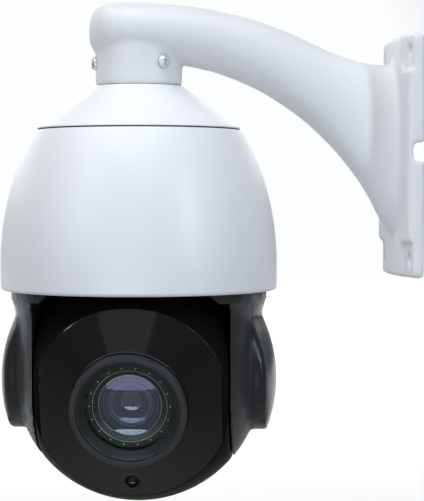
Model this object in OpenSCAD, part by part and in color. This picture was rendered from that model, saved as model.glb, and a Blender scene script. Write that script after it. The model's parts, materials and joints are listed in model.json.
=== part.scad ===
// PTZ speed dome camera on a cast wall bracket. Millimetres, +Z up, front toward -Y.
// The origin is the centre of the wall bolt pattern, on the wall side of the plate; the wall is +X.

/* [Overall] */
// distance from the wall to the pan axis
reach = 160; // [140:1:190]
// height of the dome rim below the bolt pattern centre
rim_drop = 77; // [70:1:90]
// outer radius of the bell housing at its rim
dome_radius = 80; // [79:0.5:96]
// rest angle of the head about the pan axis, clockwise from above
pan_rest = 10.5; // [0:0.5:45]
// rest angle of the lens below the horizon
tilt_rest = 13; // [0:1:45]

/* [Wall bracket] */
// width of the wall plate
plate_width = 78; // [70:1:94]
// height of the wall plate
plate_height = 140; // [125:1:168]
// thickness of the wall plate
plate_thick = 9.75; // [8:0.25:12]
// thickness of the plate at its screw ears
ear_thick = 7; // [5:0.5:8]
// spacing of the wall holes across the plate
wall_hole_y = 60; // [56:1:62]
// spacing of the wall holes up the plate
wall_hole_z = 120; // [112:1:124]
// radius of the wall holes
wall_hole_r = 4.25; // [3:0.25:5]
// outer radius of the collar
collar_r = 25; // [23.5:0.5:28]
// height of the collar bottom above the dome rim
collar_base = 117.4; // [110:0.2:130]
// wall thickness of the hollow arm
arm_wall = 4.5; // [3:0.5:6]

/* [Bell housing] */
// wall thickness of the bell and cap
bell_wall = 3; // [2.5:0.5:4]
// height of the straight part of the bell
bell_straight = 15; // [10:1:20]
// height of the bell above its rim, up to the cap seam
bell_height = 92.4; // [90:0.2:96]
// height of the full ellipse the bell follows
bell_ellipse = 114.7; // [105:0.1:130]
// outer radius of the cap where it meets the collar
cap_top_r = 25.6; // [25:0.1:30]

/* [Yoke] */
// depth of the tilt axis below the rim
tilt_drop = 51; // [48:0.5:56]
// outer radius of the yoke flange
flange_r = 74; // [72:0.5:76]
// depth of the yoke flange below the rim
flange_drop = 5.2; // [4.8:0.1:8]
// radius of the arm skin about the tilt axis
arm_skin_r = 71.7; // [70:0.1:73]
// inner face of each arm from the middle
arm_inner = 55.4; // [55:0.1:57]
// radius of the bulging arm cover
cover_sphere_r = 80; // [76:0.5:84]
// half width of the arm cover seen from the side
cover_half = 30; // [26:1:34]

/* [Head] */
// radius of the ball head
ball_r = 71.5; // [68:0.5:72]
// half width of the ball between its flat sides
ball_flat = 54.5; // [52:0.5:54.8]
// wall thickness of the ball shells
ball_wall = 2.5; // [2:0.5:3.5]
// distance of the window edge in front of the tilt axis
window_base = 45; // [42:0.5:48]
// distance of the window top in front of the tilt axis
window_top = 55.5; // [52:0.5:57]
// half width of the window between its straight sides
window_half = 51; // [48:0.5:52]
// outer radius of the lens hood
hood_r = 32.7; // [31:0.1:34]
// distance of the hood lip in front of the tilt axis
hood_top = 61; // [58:0.5:62]

/* [Optics] */
// outer radius of the lens barrel
barrel_r = 24.4; // [22:0.1:24.6]
// bore radius of the zoom block
block_bore = 17; // [16:0.5:18]
// half width of the zoom block
block_half = 25; // [22:1:26]
// outer radius of the moving lens groups
group_r = 15.8; // [14:0.1:16.5]
// number of infra-red lamps
led_count = 8; // [4:1:8]

/* [Drive] */
// radius of the pan post at the bearings
post_r = 10; // [9:0.5:10]
// outer radius of the pan bearings
bearing_r = 16; // [15:0.5:17]
// width of the pan bearings
bearing_w = 7; // [5:0.5:7]
// pitch radius of the fixed pan pulley
pan_pulley_r = 18; // [14:1:19]
// pitch radius of the pan pinion
pan_pinion_r = 7; // [5:0.5:8]
// distance of the pan motor from the pan axis
pan_motor_x = 42; // [38:1:44]
// pitch radius of the tilt pulley
tilt_pulley_r = 16; // [13:1:16]
// pitch radius of the tilt pinion
tilt_pinion_r = 6; // [4:0.5:7]
// height of the tilt motor above the rim
tilt_motor_z = 38; // [36:0.5:38]

/* [Hidden] */
$fn = 96;
fit = 0.05;
tiny = 0.01;
white = [0.86, 0.86, 0.85];
bell_white = [0.88, 0.89, 0.90];
black = [0.10, 0.10, 0.11];
gloss = [0.02, 0.02, 0.025];
steel = [0.72, 0.72, 0.73];
alloy = [0.78, 0.79, 0.80];
board = [0.06, 0.30, 0.16];
rubber = [0.07, 0.07, 0.07];
brass = [0.80, 0.62, 0.28];
clear = [0.75, 0.80, 0.90, 0.4];
skin_wall = 2.5;
dish_gap = 2;
dish_r = ball_r + dish_gap;
dish_wall = 3;
neck_outer = 20.4;
neck_inner = 16.5;
collar_bore = neck_outer + fit;
collar_depth = 33;
hub_r = 20;
hub_top = 52;
deck_thick = 2.5;
deck_z = hub_top;
pulley_z = 57;
pulley_h = 7;
belt_w = 4.6;
belt_t = 1.3;
flange_w = 1;
post_base = 66;
chassis_z = 69;
chassis_t = 3;
chassis_r = 60;
boss_ring = 53;
board_z = 76;
board_t = 1.6;
slip_r = 6.3;
axle_r = 10;
tilt_bearing_r = 13.5;
tilt_bearing_w = 4;
tilt_bearing_x = arm_inner + 1;
tilt_pulley_x = 62;
tilt_pulley_w = 6;
carrier_d = 36;
carrier_t = 3;
led_ring = 42;
sensor_ring = 45;
ledge_d = carrier_d - 3;
ball_split = 14;
head_boss_ring = 65;
collar_screw_z = collar_base + 13.1;
deck_post_angles = [50, 130, 230, 310];
deck_post_ring = 50;
neck_taper = 12.4;

// which sub-part to draw

// ---------- frames ----------
module at_dome() translate([-reach, 0, -rim_drop]) children();
module at_yoke() at_dome() rotate([0, 0, -pan_rest]) children();
module at_head() at_yoke() translate([0, 0, -tilt_drop]) rotate([tilt_rest, 0, 0]) children();
// along the lens: +Z is forward, +Y is up, X runs along the tilt axis
module along_lens() at_head() rotate([90, 0, 0]) children();
// along the tilt axis, seen from the head frame: +Z of the child runs along +X or -X
module side(s) rotate([0, s * 90, 0]) children();

// ---------- shared shapes ----------
function arc_pts(cx, cy, r, a0, a1, n) =
  [for (i = [0:n]) [cx + r * cos(a0 + (a1 - a0) * i / n), cy + r * sin(a0 + (a1 - a0) * i / n)]];

// pan-head screw: bearing face at z = 0, shank downward
module pan_screw(d, len, head_r, head_h) {
  difference() {
    rotate_extrude() polygon(concat([[0, 0], [head_r * 0.96, 0], [head_r, head_h * 0.2]],
      arc_pts(head_r * 0.55, head_h * 0.4, head_r * 0.45, 0, 60, 5),
      [[head_r * 0.5, head_h * 0.96], [0, head_h]]));
    for (a = [0, 90]) rotate([0, 0, a])
      translate([-head_r * 0.55, -head_r * 0.1, head_h * 0.5]) cube([head_r * 1.1, head_r * 0.2, head_h]);
  }
  translate([0, 0, -len]) cylinder(r = d / 2, h = len + tiny);
}

module ring(r_out, r_in, h) {
  difference() {
    cylinder(r = r_out, h = h);
    translate([0, 0, -1]) cylinder(r = r_in, h = h + 2);
  }
}

// outline of a belt of radius r1 and r2 round two shafts d apart along +X
function wrap_pts(r1, r2, d) = let (a = acos((r1 - r2) / d))
  concat(arc_pts(0, 0, r1, a, 360 - a, 36), arc_pts(d, 0, r2, -a, a, 28));

module belt(r1, r2, d, w) {
  linear_extrude(height = w) difference() {
    polygon(wrap_pts(r1 + belt_t, r2 + belt_t, d));
    polygon(wrap_pts(r1, r2, d));
  }
}

// toothed-belt pulley with two side flanges, bottom face at z = 0
module pulley(r, w, bore, edge) {
  rotate_extrude() polygon([[bore, 0], [r + edge, 0], [r + edge, flange_w], [r, flange_w],
    [r, w - flange_w], [r + edge, w - flange_w], [r + edge, w], [bore, w]]);
}

// ---------- wall bracket ----------
// arm stations: distance from the pan axis as a fraction of the reach to the plate face, then
// top, bottom (heights above the collar bottom) and half width
arm_span = reach - plate_thick;
stations = [[-28.7, 33.6, 29.6, 1.5], [-28.3, 38.0, 25.2, 6.5], [-27.2, 41.6, 22.3, 10.5],
  [-25.3, 44.1, 19.6, 14.2], [-22, 46.4, 18.2, 18.6], [-17.8, 47.6, 17.2, 22.2],
  [-10, 48.2, 16.6, 26.2], [0, 48.2, 16, 28], [8, 48.1, 15, 28], [18, 47.5, 13.8, 27.2],
  [30, 46.4, 12, 25.6], [44, 44.3, 8.9, 23.6], [56, 42.0, 4.7, 22.3], [66, 39.6, 0.5, 21.2],
  [75, 36.6, -4.2, 20.3], [84, 33.4, -9.8, 19.3], [92, 30.2, -15.2, 18.5], [100, 26.6, -21.5, 17.6],
  [108, 22.9, -28.9, 16.9], [116, 19.6, -37, 16.2], [124, 17.1, -46.6, 15.6], [131, 15.3, -56, 15.2],
  [137, 14.4, -66, 15], [142, 13.9, -76, 15.2], [146, 13.9, -82.5, 15.8], [149, 14.6, -86.5, 17.2],
  [151, 15.6, -88.5, 18.8]];
sections = 40;
section_power = 2.25;

function spow(v, p) = sign(v) * pow(abs(v), p);
function station_x(s) = s[0] < 40 ? s[0] : 40 + (s[0] - 40) * (arm_span - 40) / 110.25;
function section_pts(s, inset) = let (
    h = max(0.4, (s[1] - s[2]) / 2 - inset),
    w = max(0.4, s[3] - inset),
    c = collar_base + (s[1] + s[2]) / 2
  ) [for (i = [0:sections - 1]) let (a = 360 * i / sections)
    [station_x(s), w * spow(cos(a), 2 / section_power), c + h * spow(sin(a), 2 / section_power)]];

module loft(list, inset) {
  n = len(list);
  m = sections;
  polyhedron(points = [for (s = list) each section_pts(s, inset)],
    faces = concat([[for (i = [0:m - 1]) i]], [[for (i = [0:m - 1]) (n - 1) * m + m - 1 - i]],
      [for (k = [0:n - 2]) for (i = [0:m - 1])
        [k * m + i, (k + 1) * m + i, (k + 1) * m + (i + 1) % m]],
      [for (k = [0:n - 2]) for (i = [0:m - 1])
        [k * m + i, (k + 1) * m + (i + 1) % m, k * m + (i + 1) % m]]));
}

module rounded_rect(w, h, r) {
  difference() {
    square([w, h], center = true);
    for (sx = [-1, 1]) for (sy = [-1, 1]) translate([sx * w / 2, sy * h / 2]) difference() {
      square(2 * r, center = true);
      translate([-sx * r, -sy * r]) circle(r = r);
    }
  }
}

module upright(x0, x1) translate([x0, 0, 0]) rotate([90, 0, 90]) linear_extrude(height = x1 - x0)
  children();

module wall_bracket() color(white) {
  pocket_w = plate_width / 2 - wall_hole_y / 2 + 10;
  pocket_h = plate_height / 2 - wall_hole_z / 2 + 10.5;
  rim = 3.75;
  difference() {
    union() {
      upright(-plate_thick, 0) rounded_rect(plate_width, plate_height, 3);
      at_dome() loft(stations, 0);
      at_dome() translate([0, 0, collar_base]) cylinder(r = collar_r, h = collar_depth);
    }
    at_dome() loft([for (i = [7:len(stations) - 1]) stations[i]], arm_wall);
    at_dome() translate([0, 0, collar_base - 1]) cylinder(r = collar_bore, h = collar_depth);
    // pockets over the screw ears
    for (sy = [-1, 1]) for (sz = [-1, 1])
      translate([-plate_thick - 1, sy * (plate_width / 2 + 5 - pocket_w / 2),
        sz * (plate_height / 2 + 5 - pocket_h / 2)])
        upright(0, 1 + plate_thick - ear_thick) rounded_rect(pocket_w + 10, pocket_h + 10, 5);
    for (sy = [-1, 1]) for (sz = [-1, 1])
      translate([-plate_thick - 1, sy * wall_hole_y / 2, sz * wall_hole_z / 2]) rotate([0, 90, 0])
        cylinder(r = wall_hole_r, h = plate_thick + 2);
    // open back with solid corners round the wall holes
    upright(-plate_thick + rim, 1) difference() {
      rounded_rect(plate_width - 2 * rim, plate_height - 2 * rim, 2);
      for (sy = [-1, 1]) for (sz = [-1, 1])
        translate([sy * wall_hole_y / 2, sz * wall_hole_z / 2]) rounded_rect(22, 24, 4);
    }
    // mouth of the arm passage through the plate
    at_dome() translate([0, 0, collar_base]) translate([reach - plate_thick - 1.5, 0, -37])
      upright(0, plate_thick) rounded_rect(20, 84, 9);
    // cable notch in the side wall
    translate([-6.3, -plate_width / 2 - 1, -3.1]) cube([7.3, rim + 3, 10.4]);
    // clearance holes and flats for the collar screws
    at_dome() for (a = [60, 180, 300]) rotate([0, 0, a]) translate([0, 0, collar_screw_z])
      rotate([0, 90, 0]) {
        cylinder(r = 2.2, h = 60);
        translate([0, 0, collar_r - 0.5]) cylinder(r = 4.4, h = 5);
      }
  }
}

module collar_screws() color(steel) at_dome() for (a = [60, 180, 300]) rotate([0, 0, a])
  translate([collar_r - 0.5, 0, collar_screw_z]) rotate([0, 90, 0]) rotate([0, 0, 20])
    pan_screw(4, 7.5, 4, 2.9);

module neck_tube() color(steel) at_dome() difference() {
  union() {
    translate([0, 0, collar_base - 7]) cylinder(r1 = 27, r2 = 24.4, h = 3.5);
    translate([0, 0, collar_base - 4]) cylinder(r = neck_outer, h = 4 + 30);
  }
  translate([0, 0, collar_base - 8]) cylinder(r = neck_inner, h = 50);
  for (a = [60, 180, 300]) rotate([0, 0, a]) translate([0, 0, collar_screw_z]) rotate([0, 90, 0])
    cylinder(r = 2 + fit / 2, h = 40);
  for (a = [0:90:270]) rotate([0, 0, a]) translate([22.4, 0, collar_base - 8])
    cylinder(r = 1.6, h = 10);
}

module cable_grommet() color(rubber) at_dome() translate([0, 0, collar_base + 20])
  rotate_extrude() polygon([[5, 0], [neck_inner - fit, 0], [neck_inner - fit, 8], [9, 8], [6.5, 6.5], [5, 6.5]]);

module top_cap() color(bell_white) at_dome() difference() {
  rotate_extrude() polygon([[47, bell_height + 0.3], [seam_r, bell_height + 0.3],
    [cap_top_r + 0.6, collar_base - 0.4], [cap_top_r, collar_base], [neck_outer + fit, collar_base],
    [neck_outer + fit, collar_base - 3.45], [cap_top_r - 1, collar_base - 3.45],
    [cap_ledge_r, bell_height + 4.3], [47, bell_height + 4.3]]);
  for (a = [0:90:270]) rotate([0, 0, a]) translate([22.4, 0, collar_base - 5])
    cylinder(r = 1.5 + fit / 2, h = 4);
  for (i = [0:5]) rotate([0, 0, i * 60]) translate([50.2, 0, bell_height])
    cylinder(r = 1.5 + fit / 2, h = 3.6);
}

module cap_seal() color(rubber) at_dome() translate([0, 0, bell_height])
  ring(seam_r - 0.9, seam_r - 6.5, 0.3);

function bell_r(z) = z <= bell_straight ? dome_radius
  : dome_radius * sqrt(1 - pow((z - bell_straight) / bell_ellipse, 2));
seam_r = bell_r(bell_height);
cap_slope = (collar_base - 0.7 - bell_height) / (seam_r - cap_top_r - 0.6);
cap_ledge_r = seam_r - 6.2 / cap_slope;
bell_steps = 22;

module bell_housing() color(bell_white) at_dome() difference() {
  union() {
    rotate_extrude() polygon(concat(
      arc_pts(dome_radius - 2.4, 2.4, 2.4, -90, 0, 5),
      [for (i = [0:bell_steps]) let (z = bell_straight + (bell_height - bell_straight) * i / bell_steps)
        [bell_r(z), z]],
      [[45, bell_height], [45, bell_height - 3]],
      [for (i = [bell_steps:-1:0])
        let (z = bell_straight + (bell_height - 3 - bell_straight) * i / bell_steps)
        [bell_r(z) - bell_wall, z]],
      [[dome_radius - bell_wall, 0]]));
    for (i = [0:3]) rotate([0, 0, 45 + i * 90]) translate([boss_ring, 0, chassis_z + chassis_t])
      cylinder(r = 4.5, h = bell_height - chassis_z - chassis_t - 1);
  }
  for (i = [0:3]) rotate([0, 0, 45 + i * 90]) translate([boss_ring, 0, chassis_z + chassis_t - 1])
    cylinder(r = 1.5 + fit / 2, h = 13);
  for (i = [0:5]) rotate([0, 0, i * 60]) translate([50.2, 0, bell_height - 4])
    cylinder(r = 1.7, h = 5);
}

// ---------- inside the bell ----------
module chassis_plate() color(alloy) at_dome() difference() {
  translate([0, 0, chassis_z]) cylinder(r = chassis_r, h = chassis_t);
  translate([0, 0, chassis_z - 1]) cylinder(r = 8.4, h = chassis_t + 2);
  for (i = [0:3]) rotate([0, 0, 45 + i * 90]) translate([boss_ring, 0, chassis_z - 1])
    cylinder(r = 1.7, h = chassis_t + 2);
  for (i = [0:3]) rotate([0, 0, i * 90]) translate([17, 0, chassis_z - 1])
    cylinder(r = 1.7, h = chassis_t + 2);
  for (i = [0:3]) rotate([0, 0, i * 90 + 45]) translate([36, 0, chassis_z - 1])
    cylinder(r = 6, h = chassis_t + 2);
}

module main_board() color(board) at_dome() difference() {
  translate([0, 0, board_z]) cylinder(r = 47, h = board_t);
  for (i = [0:3]) rotate([0, 0, i * 90]) translate([40, 0, board_z - 1])
    cylinder(r = 1.6, h = board_t + 2);
}

module board_standoffs() color(brass) at_dome() for (i = [0:3]) rotate([0, 0, i * 90])
  translate([40, 0, chassis_z + chassis_t]) {
    cylinder(r = 2.9, h = board_z - chassis_z - chassis_t, $fn = 6);
    cylinder(r = 1.5, h = board_z - chassis_z - chassis_t + board_t + 1.4);
    translate([0, 0, board_z - chassis_z - chassis_t + board_t]) cylinder(r = 2.6, h = 1.6);
  }

module board_connectors() color(black) at_dome() translate([0, 0, board_z + board_t]) {
  translate([-30, -8, 0]) cube([21, 16, 13]);
  translate([2, -26, 0]) cube([24, 9, 10]);
  translate([4, 12, 0]) cube([16, 16, 3]);
  translate([-18, 18, 0]) cube([12, 12, 2]);
  for (i = [0:2]) translate([-24 + i * 10, -28, 0]) cylinder(r = 4, h = 9);
}

module pan_post() color(alloy) at_dome() difference() {
  union() {
    translate([0, 0, hub_top - 22.5]) cylinder(r = post_r, h = 30);
    translate([0, 0, hub_top]) cylinder(r = post_r + 1.5, h = post_base - hub_top + 1);
    translate([0, 0, post_base]) cylinder(r = 22, h = chassis_z - post_base);
  }
  translate([0, 0, 20]) cylinder(r = 8, h = 60);
  for (i = [0:3]) rotate([0, 0, i * 90]) translate([17, 0, post_base - 1])
    cylinder(r = 1.5 + fit / 2, h = 5);
  translate([0, 0, hub_top - 21.2]) ring(post_r + 1, post_r - 0.7, 1);
}

module pan_pulley() color(alloy) at_dome() translate([0, 0, pulley_z])
  pulley(pan_pulley_r, pulley_h, post_r + 1.5, 1.5);

module bearing_races(z_list, r_in, r_out, w, outer) {
  groove = (r_out - r_in) * 0.20;
  mid = (r_in + r_out) / 2;
  for (z = z_list) translate([0, 0, z]) difference() {
    if (outer) ring(r_out, mid + groove, w);
    else ring(mid - groove, r_in, w);
    translate([0, 0, w / 2]) rotate_extrude() translate([mid, 0]) circle(r = w * 0.27, $fn = 48);
  }
}

module ball_rings(z_list, r_in, r_out, w, n) {
  for (z = z_list) for (i = [0:n - 1]) rotate([0, 0, i * 360 / n])
    translate([(r_in + r_out) / 2, 0, z + w / 2]) sphere(r = w * 0.27 - 0.04, $fn = 24);
}

pan_bearing_z = [hub_top - 20, hub_top - bearing_w];

module pan_bearing_inner() color(steel) at_dome()
  bearing_races(pan_bearing_z, post_r, bearing_r, bearing_w, false);

module retaining_clip() color(steel) at_dome() difference() {
  translate([0, 0, hub_top - 21.2 + 0.02]) ring(11.4, post_r - 0.7, 0.96);
  translate([8, -1, hub_top - 22]) cube([5, 2, 3]);
}

module slip_ring_stator() color(black) at_dome() {
  translate([0, 0, hub_top - 12]) ring(slip_r, 4.6, chassis_z + chassis_t - hub_top + 12.5);
  translate([0, 0, chassis_z + chassis_t]) difference() {
    cylinder(r = 11, h = 1.8);
    translate([0, 0, -1]) cylinder(r = 4.6, h = 4);
    for (i = [0:3]) rotate([0, 0, i * 90]) translate([17, 0, -1]) cylinder(r = 4, h = 4);
  }
}

// ---------- yoke ----------
module bullet(r) {
  sphere(r = r);
  cylinder(r = r, h = tilt_drop - flange_drop + 1);
}

// side outline of the arm boss, drawn with +Y up
module boss_outline(r) {
  circle(r = r);
  translate([-r, 0]) square([2 * r, tilt_drop]);
}

// prism along the tilt axis from x0 to x1 on side s, with the outline's +Y upward
module side_prism(s, x0, x1) mirror([s < 0 ? 1 : 0, 0, 0]) translate([x0, 0, 0])
  rotate([90, 0, 90]) linear_extrude(height = x1 - x0) children();

module yoke_frame() color(black) at_yoke() difference() {
  union() {
    // flange with a dish rising over the ball
    difference() {
      union() {
        translate([0, 0, -flange_drop]) cylinder(r = flange_r, h = flange_drop + 2.5);
        intersection() {
          translate([0, 0, -tilt_drop]) sphere(r = dish_r + dish_wall);
          translate([0, 0, -flange_drop]) cylinder(r = flange_r, h = 60);
        }
        cylinder(r = hub_r, h = hub_top);
        for (a = deck_post_angles) rotate([0, 0, a]) translate([deck_post_ring, 0, 0])
          cylinder(r = 4, h = hub_top);
      }
      translate([0, 0, -tilt_drop]) sphere(r = dish_r);
    }
    // hollow arms, open behind their covers
    translate([0, 0, -tilt_drop]) difference() {
      intersection() {
        union() {
          bullet(arm_skin_r);
          translate([0, 0, tilt_drop - neck_taper])
            cylinder(r1 = arm_skin_r, r2 = flange_r - 0.4, h = neck_taper - flange_drop);
        }
        for (s = [-1, 1]) translate([s * (arm_inner + 15), 0, 0]) cube([30, 120, 120], center = true);
      }
      for (s = [-1, 1]) {
        intersection() {
          union() {
            sphere(r = arm_skin_r - skin_wall);
            cylinder(r = arm_skin_r - skin_wall, h = tilt_drop - flange_drop - 4);
          }
          translate([s * (arm_inner + 18), 0, 0]) cube([30, 80, 96], center = true);
        }
        side_prism(s, arm_inner + 4, 90) intersection() {
          boss_outline(25.4);
          translate([-40, -40]) square([80, 40 + 31]);
        }
      }
    }
    // hubs that hold the tilt bearings
    translate([0, 0, -tilt_drop]) for (s = [-1, 1]) side(s) translate([0, 0, arm_inner])
      cylinder(r = 16.5, h = 6);
  }
  // slot for the tilt belt and cables up into the bell
  for (s = [-1, 1]) translate([s * 64.8, 0, -5]) cube([8.8, 34, 20], center = true);
  // bearing seats and axle holes
  translate([0, 0, -tilt_drop]) for (s = [-1, 1]) side(s) {
    translate([0, 0, arm_inner - 1]) cylinder(r = axle_r + 1, h = 10);
    translate([0, 0, tilt_bearing_x]) cylinder(r = tilt_bearing_r, h = 10);
  }
  // cover screw holes
  translate([0, 0, -tilt_drop]) for (s = [-1, 1]) for (p = cover_posts)
    translate([s * (arm_inner - 1), p[0], p[1]]) side(s) {
      cylinder(r = 1.4, h = 6);
      cylinder(r = 2.7, h = 2.6);
    }
  // hub bore
  translate([0, 0, hub_top - 20]) cylinder(r = bearing_r, h = 30);
  translate([0, 0, hub_top - 26.5]) cylinder(r = 12, h = 10);
  for (a = [0, 90, 180, 270]) rotate([0, 0, a + 45]) translate([18, 0, hub_top - 8])
    cylinder(r = 1.25 + fit / 2, h = 10);
  for (a = deck_post_angles) rotate([0, 0, a]) translate([deck_post_ring, 0, hub_top - 8])
    cylinder(r = 1.25 + fit / 2, h = 10);
  // cut-out with sloping corners between the arms, front and back
  rotate([90, 0, 0]) translate([0, 0, -100]) linear_extrude(height = 200)
    polygon([[-50, -flange_drop - 1], [-50, -flange_drop], [-45.8, -1.2], [-43, 3.5], [43, 3.5],
      [45.8, -1.2], [50, -flange_drop], [50, -flange_drop - 1]]);
}

cover_posts = [[-22.5, 0], [22.5, 0], [-21, 25], [21, 25]];

module arm_cover(s) color(black) at_yoke() translate([0, 0, -tilt_drop]) difference() {
  union() {
    difference() {
      intersection() {
        sphere(r = cover_sphere_r);
        side_prism(s, arm_inner + 4, 90) boss_outline(cover_half);
        translate([0, 0, -50]) cube([400, 400, 170], center = true);
      }
      bullet(arm_skin_r);
      intersection() {
        sphere(r = cover_sphere_r - skin_wall);
        side_prism(s, arm_inner, 90) boss_outline(cover_half - skin_wall);
      }
    }
    intersection() {
      sphere(r = cover_sphere_r - 1);
      for (p = cover_posts) translate([s * (arm_inner + 3), p[0], p[1]]) side(s)
        cylinder(r = 2.8, h = 24);
    }
  }
  for (p = cover_posts) translate([s * arm_inner, p[0], p[1]]) side(s)
    cylinder(r = 1.25 + fit / 2, h = 9);
}

module left_arm_cover() arm_cover(-1);
module right_arm_cover() arm_cover(1);

module cover_screws() color(steel) at_yoke() translate([0, 0, -tilt_drop])
  for (s = [-1, 1]) for (p = cover_posts) translate([s * (arm_inner + 1.6), p[0], p[1]]) side(s)
    mirror([0, 0, 1]) pan_screw(2.5, 6.8, 2.4, 1.4);

module pan_deck() color(alloy) at_yoke() difference() {
  translate([0, 0, deck_z]) cylinder(r = 66.5, h = deck_thick);
  translate([0, 0, deck_z - 1]) cylinder(r = 12.3, h = 5);
  for (a = [0, 90, 180, 270]) rotate([0, 0, a + 45]) translate([18, 0, deck_z - 1])
    cylinder(r = 1.4, h = 5);
  for (a = deck_post_angles) rotate([0, 0, a]) translate([deck_post_ring, 0, deck_z - 1])
    cylinder(r = 1.4, h = 5);
  translate([-pan_motor_x, 0, deck_z - 1]) cylinder(r = 9, h = 5);
  for (a = [45:90:315]) translate([-pan_motor_x, 0, deck_z - 1]) rotate([0, 0, a])
    translate([18.4, 0, 0]) cylinder(r = 1.6, h = 5);
  for (s = [-1, 1]) translate([59, s * 12, deck_z - 1]) cylinder(r = 1.4, h = 5);
}

module bearing_spacer() color(alloy) at_yoke() translate([0, 0, hub_top - 20 + bearing_w])
  ring(bearing_r, 14.4, 20 - 2 * bearing_w);

module slip_ring_rotor() color(brass) at_yoke() {
  translate([0, 0, hub_top - 26.5]) cylinder(r = 12, h = 1.8);
  translate([0, 0, hub_top - 25]) cylinder(r = 4, h = 38);
}

module pan_motor() color(steel) at_yoke() translate([-pan_motor_x, 0, deck_z - 23]) difference() {
  union() {
    linear_extrude(height = 23) rounded_rect(35, 35, 4);
    translate([0, 0, 22]) cylinder(r = 8.9, h = 3);
  }
  translate([0, 0, 2]) cylinder(r = 3, h = 30);
  for (a = [45:90:315]) rotate([0, 0, a]) translate([18.4, 0, 16]) cylinder(r = 1.5 + fit / 2, h = 10);
}

module pan_pinion() color(brass) at_yoke() translate([-pan_motor_x, 0, 0]) {
  translate([0, 0, pulley_z]) pulley(pan_pinion_r, pulley_h, 2, 1.5);
  translate([0, 0, deck_z - 20]) cylinder(r = 2.5, h = pulley_z + pulley_h - deck_z + 20);
}

module pan_belt() color(rubber) at_yoke() translate([0, 0, pulley_z + (pulley_h - belt_w) / 2])
  mirror([1, 0, 0]) belt(pan_pulley_r + 0.1, pan_pinion_r + 0.1, pan_motor_x, belt_w);

module tilt_motor() color(steel) at_yoke() translate([23, 0, tilt_motor_z]) rotate([90, 0, 90])
  difference() {
    union() {
      linear_extrude(height = 29) rounded_rect(27, 27, 3);
      cylinder(r = 6.9, h = 31);
    }
    translate([0, 0, 2]) cylinder(r = 3, h = 40);
    for (a = [45:90:315]) rotate([0, 0, a]) translate([12.6, 0, 22]) cylinder(r = 1.25 + fit / 2, h = 8);
  }

module tilt_motor_bracket() color(alloy) at_yoke() difference() {
  union() {
    translate([52, -16, tilt_motor_z - 13.5]) cube([2.5, 32, deck_z - tilt_motor_z + 13.5]);
    translate([52, -16, deck_z - 2.5]) cube([11, 32, 2.5]);
  }
  translate([50, 0, tilt_motor_z]) rotate([0, 90, 0]) cylinder(r = 7, h = 6);
  translate([50, 0, tilt_motor_z]) rotate([0, 90, 0]) for (a = [45:90:315]) rotate([0, 0, a])
    translate([12.6, 0, 0]) cylinder(r = 1.4, h = 6);
  for (s = [-1, 1]) translate([59, s * 12, deck_z - 4]) cylinder(r = 1.25 + fit / 2, h = 6);
}

module tilt_pinion() color(brass) at_yoke() translate([0, 0, tilt_motor_z]) rotate([0, 90, 0]) {
  translate([0, 0, tilt_pulley_x]) pulley(tilt_pinion_r, tilt_pulley_w, 2, 1.2);
  translate([0, 0, 30]) cylinder(r = 2.5, h = tilt_pulley_x + tilt_pulley_w - 30);
}

// the belt runs from the pulley on the tilt axis up to the motor pinion
module tilt_belt() color(rubber) at_yoke() translate([0, 0, -tilt_drop])
  translate([tilt_pulley_x + (tilt_pulley_w - 3.8) / 2, 0, 0]) rotate([0, -90, 180])
    belt(tilt_pulley_r + 0.1, tilt_pinion_r + 0.1, tilt_drop + tilt_motor_z, 3.8);

// ---------- head ----------
module ball_body(r, flat) intersection() {
  sphere(r = r);
  cube([2 * flat, 200, 200], center = true);
}

// cone of the window face, seen along the lens
cone_slope = (window_top - window_base) / (sqrt(ball_r * ball_r - window_base * window_base) - hood_r);
window_edge = sqrt(ball_r * ball_r - window_base * window_base);
module under_cone(drop, r_top) rotate_extrude() polygon([[0, -100], [90, -100],
  [90, window_base - (90 - window_edge) * cone_slope - drop],
  [r_top, window_base + (window_edge - r_top) * cone_slope - drop], [0, window_top - drop]]);

head_boss_pts = [for (a = [60, 120, 240, 300]) [head_boss_ring * cos(a), head_boss_ring * sin(a)]];

module head_shell_front() color(black) along_lens() difference() {
  union() {
    difference() {
      intersection() {
        ball_body(ball_r, ball_flat);
        translate([0, 0, 50 - ball_split]) cube([200, 200, 100], center = true);
        under_cone(0, hood_r);
      }
      intersection() {
        ball_body(ball_r - ball_wall, ball_flat - ball_wall);
        under_cone(4.5, 20);
      }
      // seat of the window
      intersection() {
        translate([0, 0, window_base - 2.6]) cylinder(r = 54.9, h = 30);
        translate([0, 0, window_base + 20]) cube([2 * window_half + 0.2, 200, 50], center = true);
      }
      translate([0, 0, window_base - 9]) intersection() {
        cylinder(r = 52, h = 20);
        cube([2 * window_half - 5, 200, 60], center = true);
      }
    }
    // ledge that carries the front plate
    difference() {
      intersection() {
        ball_body(ball_r - 1, ball_flat - 1);
        translate([0, 0, ledge_d]) cylinder(r = 80, h = 3);
      }
      translate([0, 0, ledge_d - 1]) intersection() {
        cylinder(r = 50.5, h = 5);
        cube([92, 200, 20], center = true);
      }
    }
    // bosses for the rear shell
    intersection() {
      ball_body(ball_r - 0.5, ball_flat);
      for (p = head_boss_pts) translate([p[0], p[1], -ball_split]) cylinder(r = 5, h = 22);
    }
  }
  for (p = head_boss_pts) translate([p[0], p[1], -ball_split - 1]) cylinder(r = 1.5 + fit / 2, h = 13);
  for (p = carrier_pts) translate([p[0], p[1], ledge_d - 1]) cylinder(r = 1.25 + fit / 2, h = 6);
  // axle holes in the flat sides
  rotate([-90, 0, 0]) for (s = [-1, 1]) side(s) translate([0, 0, ball_flat - 6]) {
    cylinder(r = axle_r + fit, h = 10);
    for (a = [45:90:315]) rotate([0, 0, a]) translate([13, 0, 0]) cylinder(r = 1.25 + fit / 2, h = 5.6);
  }
}

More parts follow.
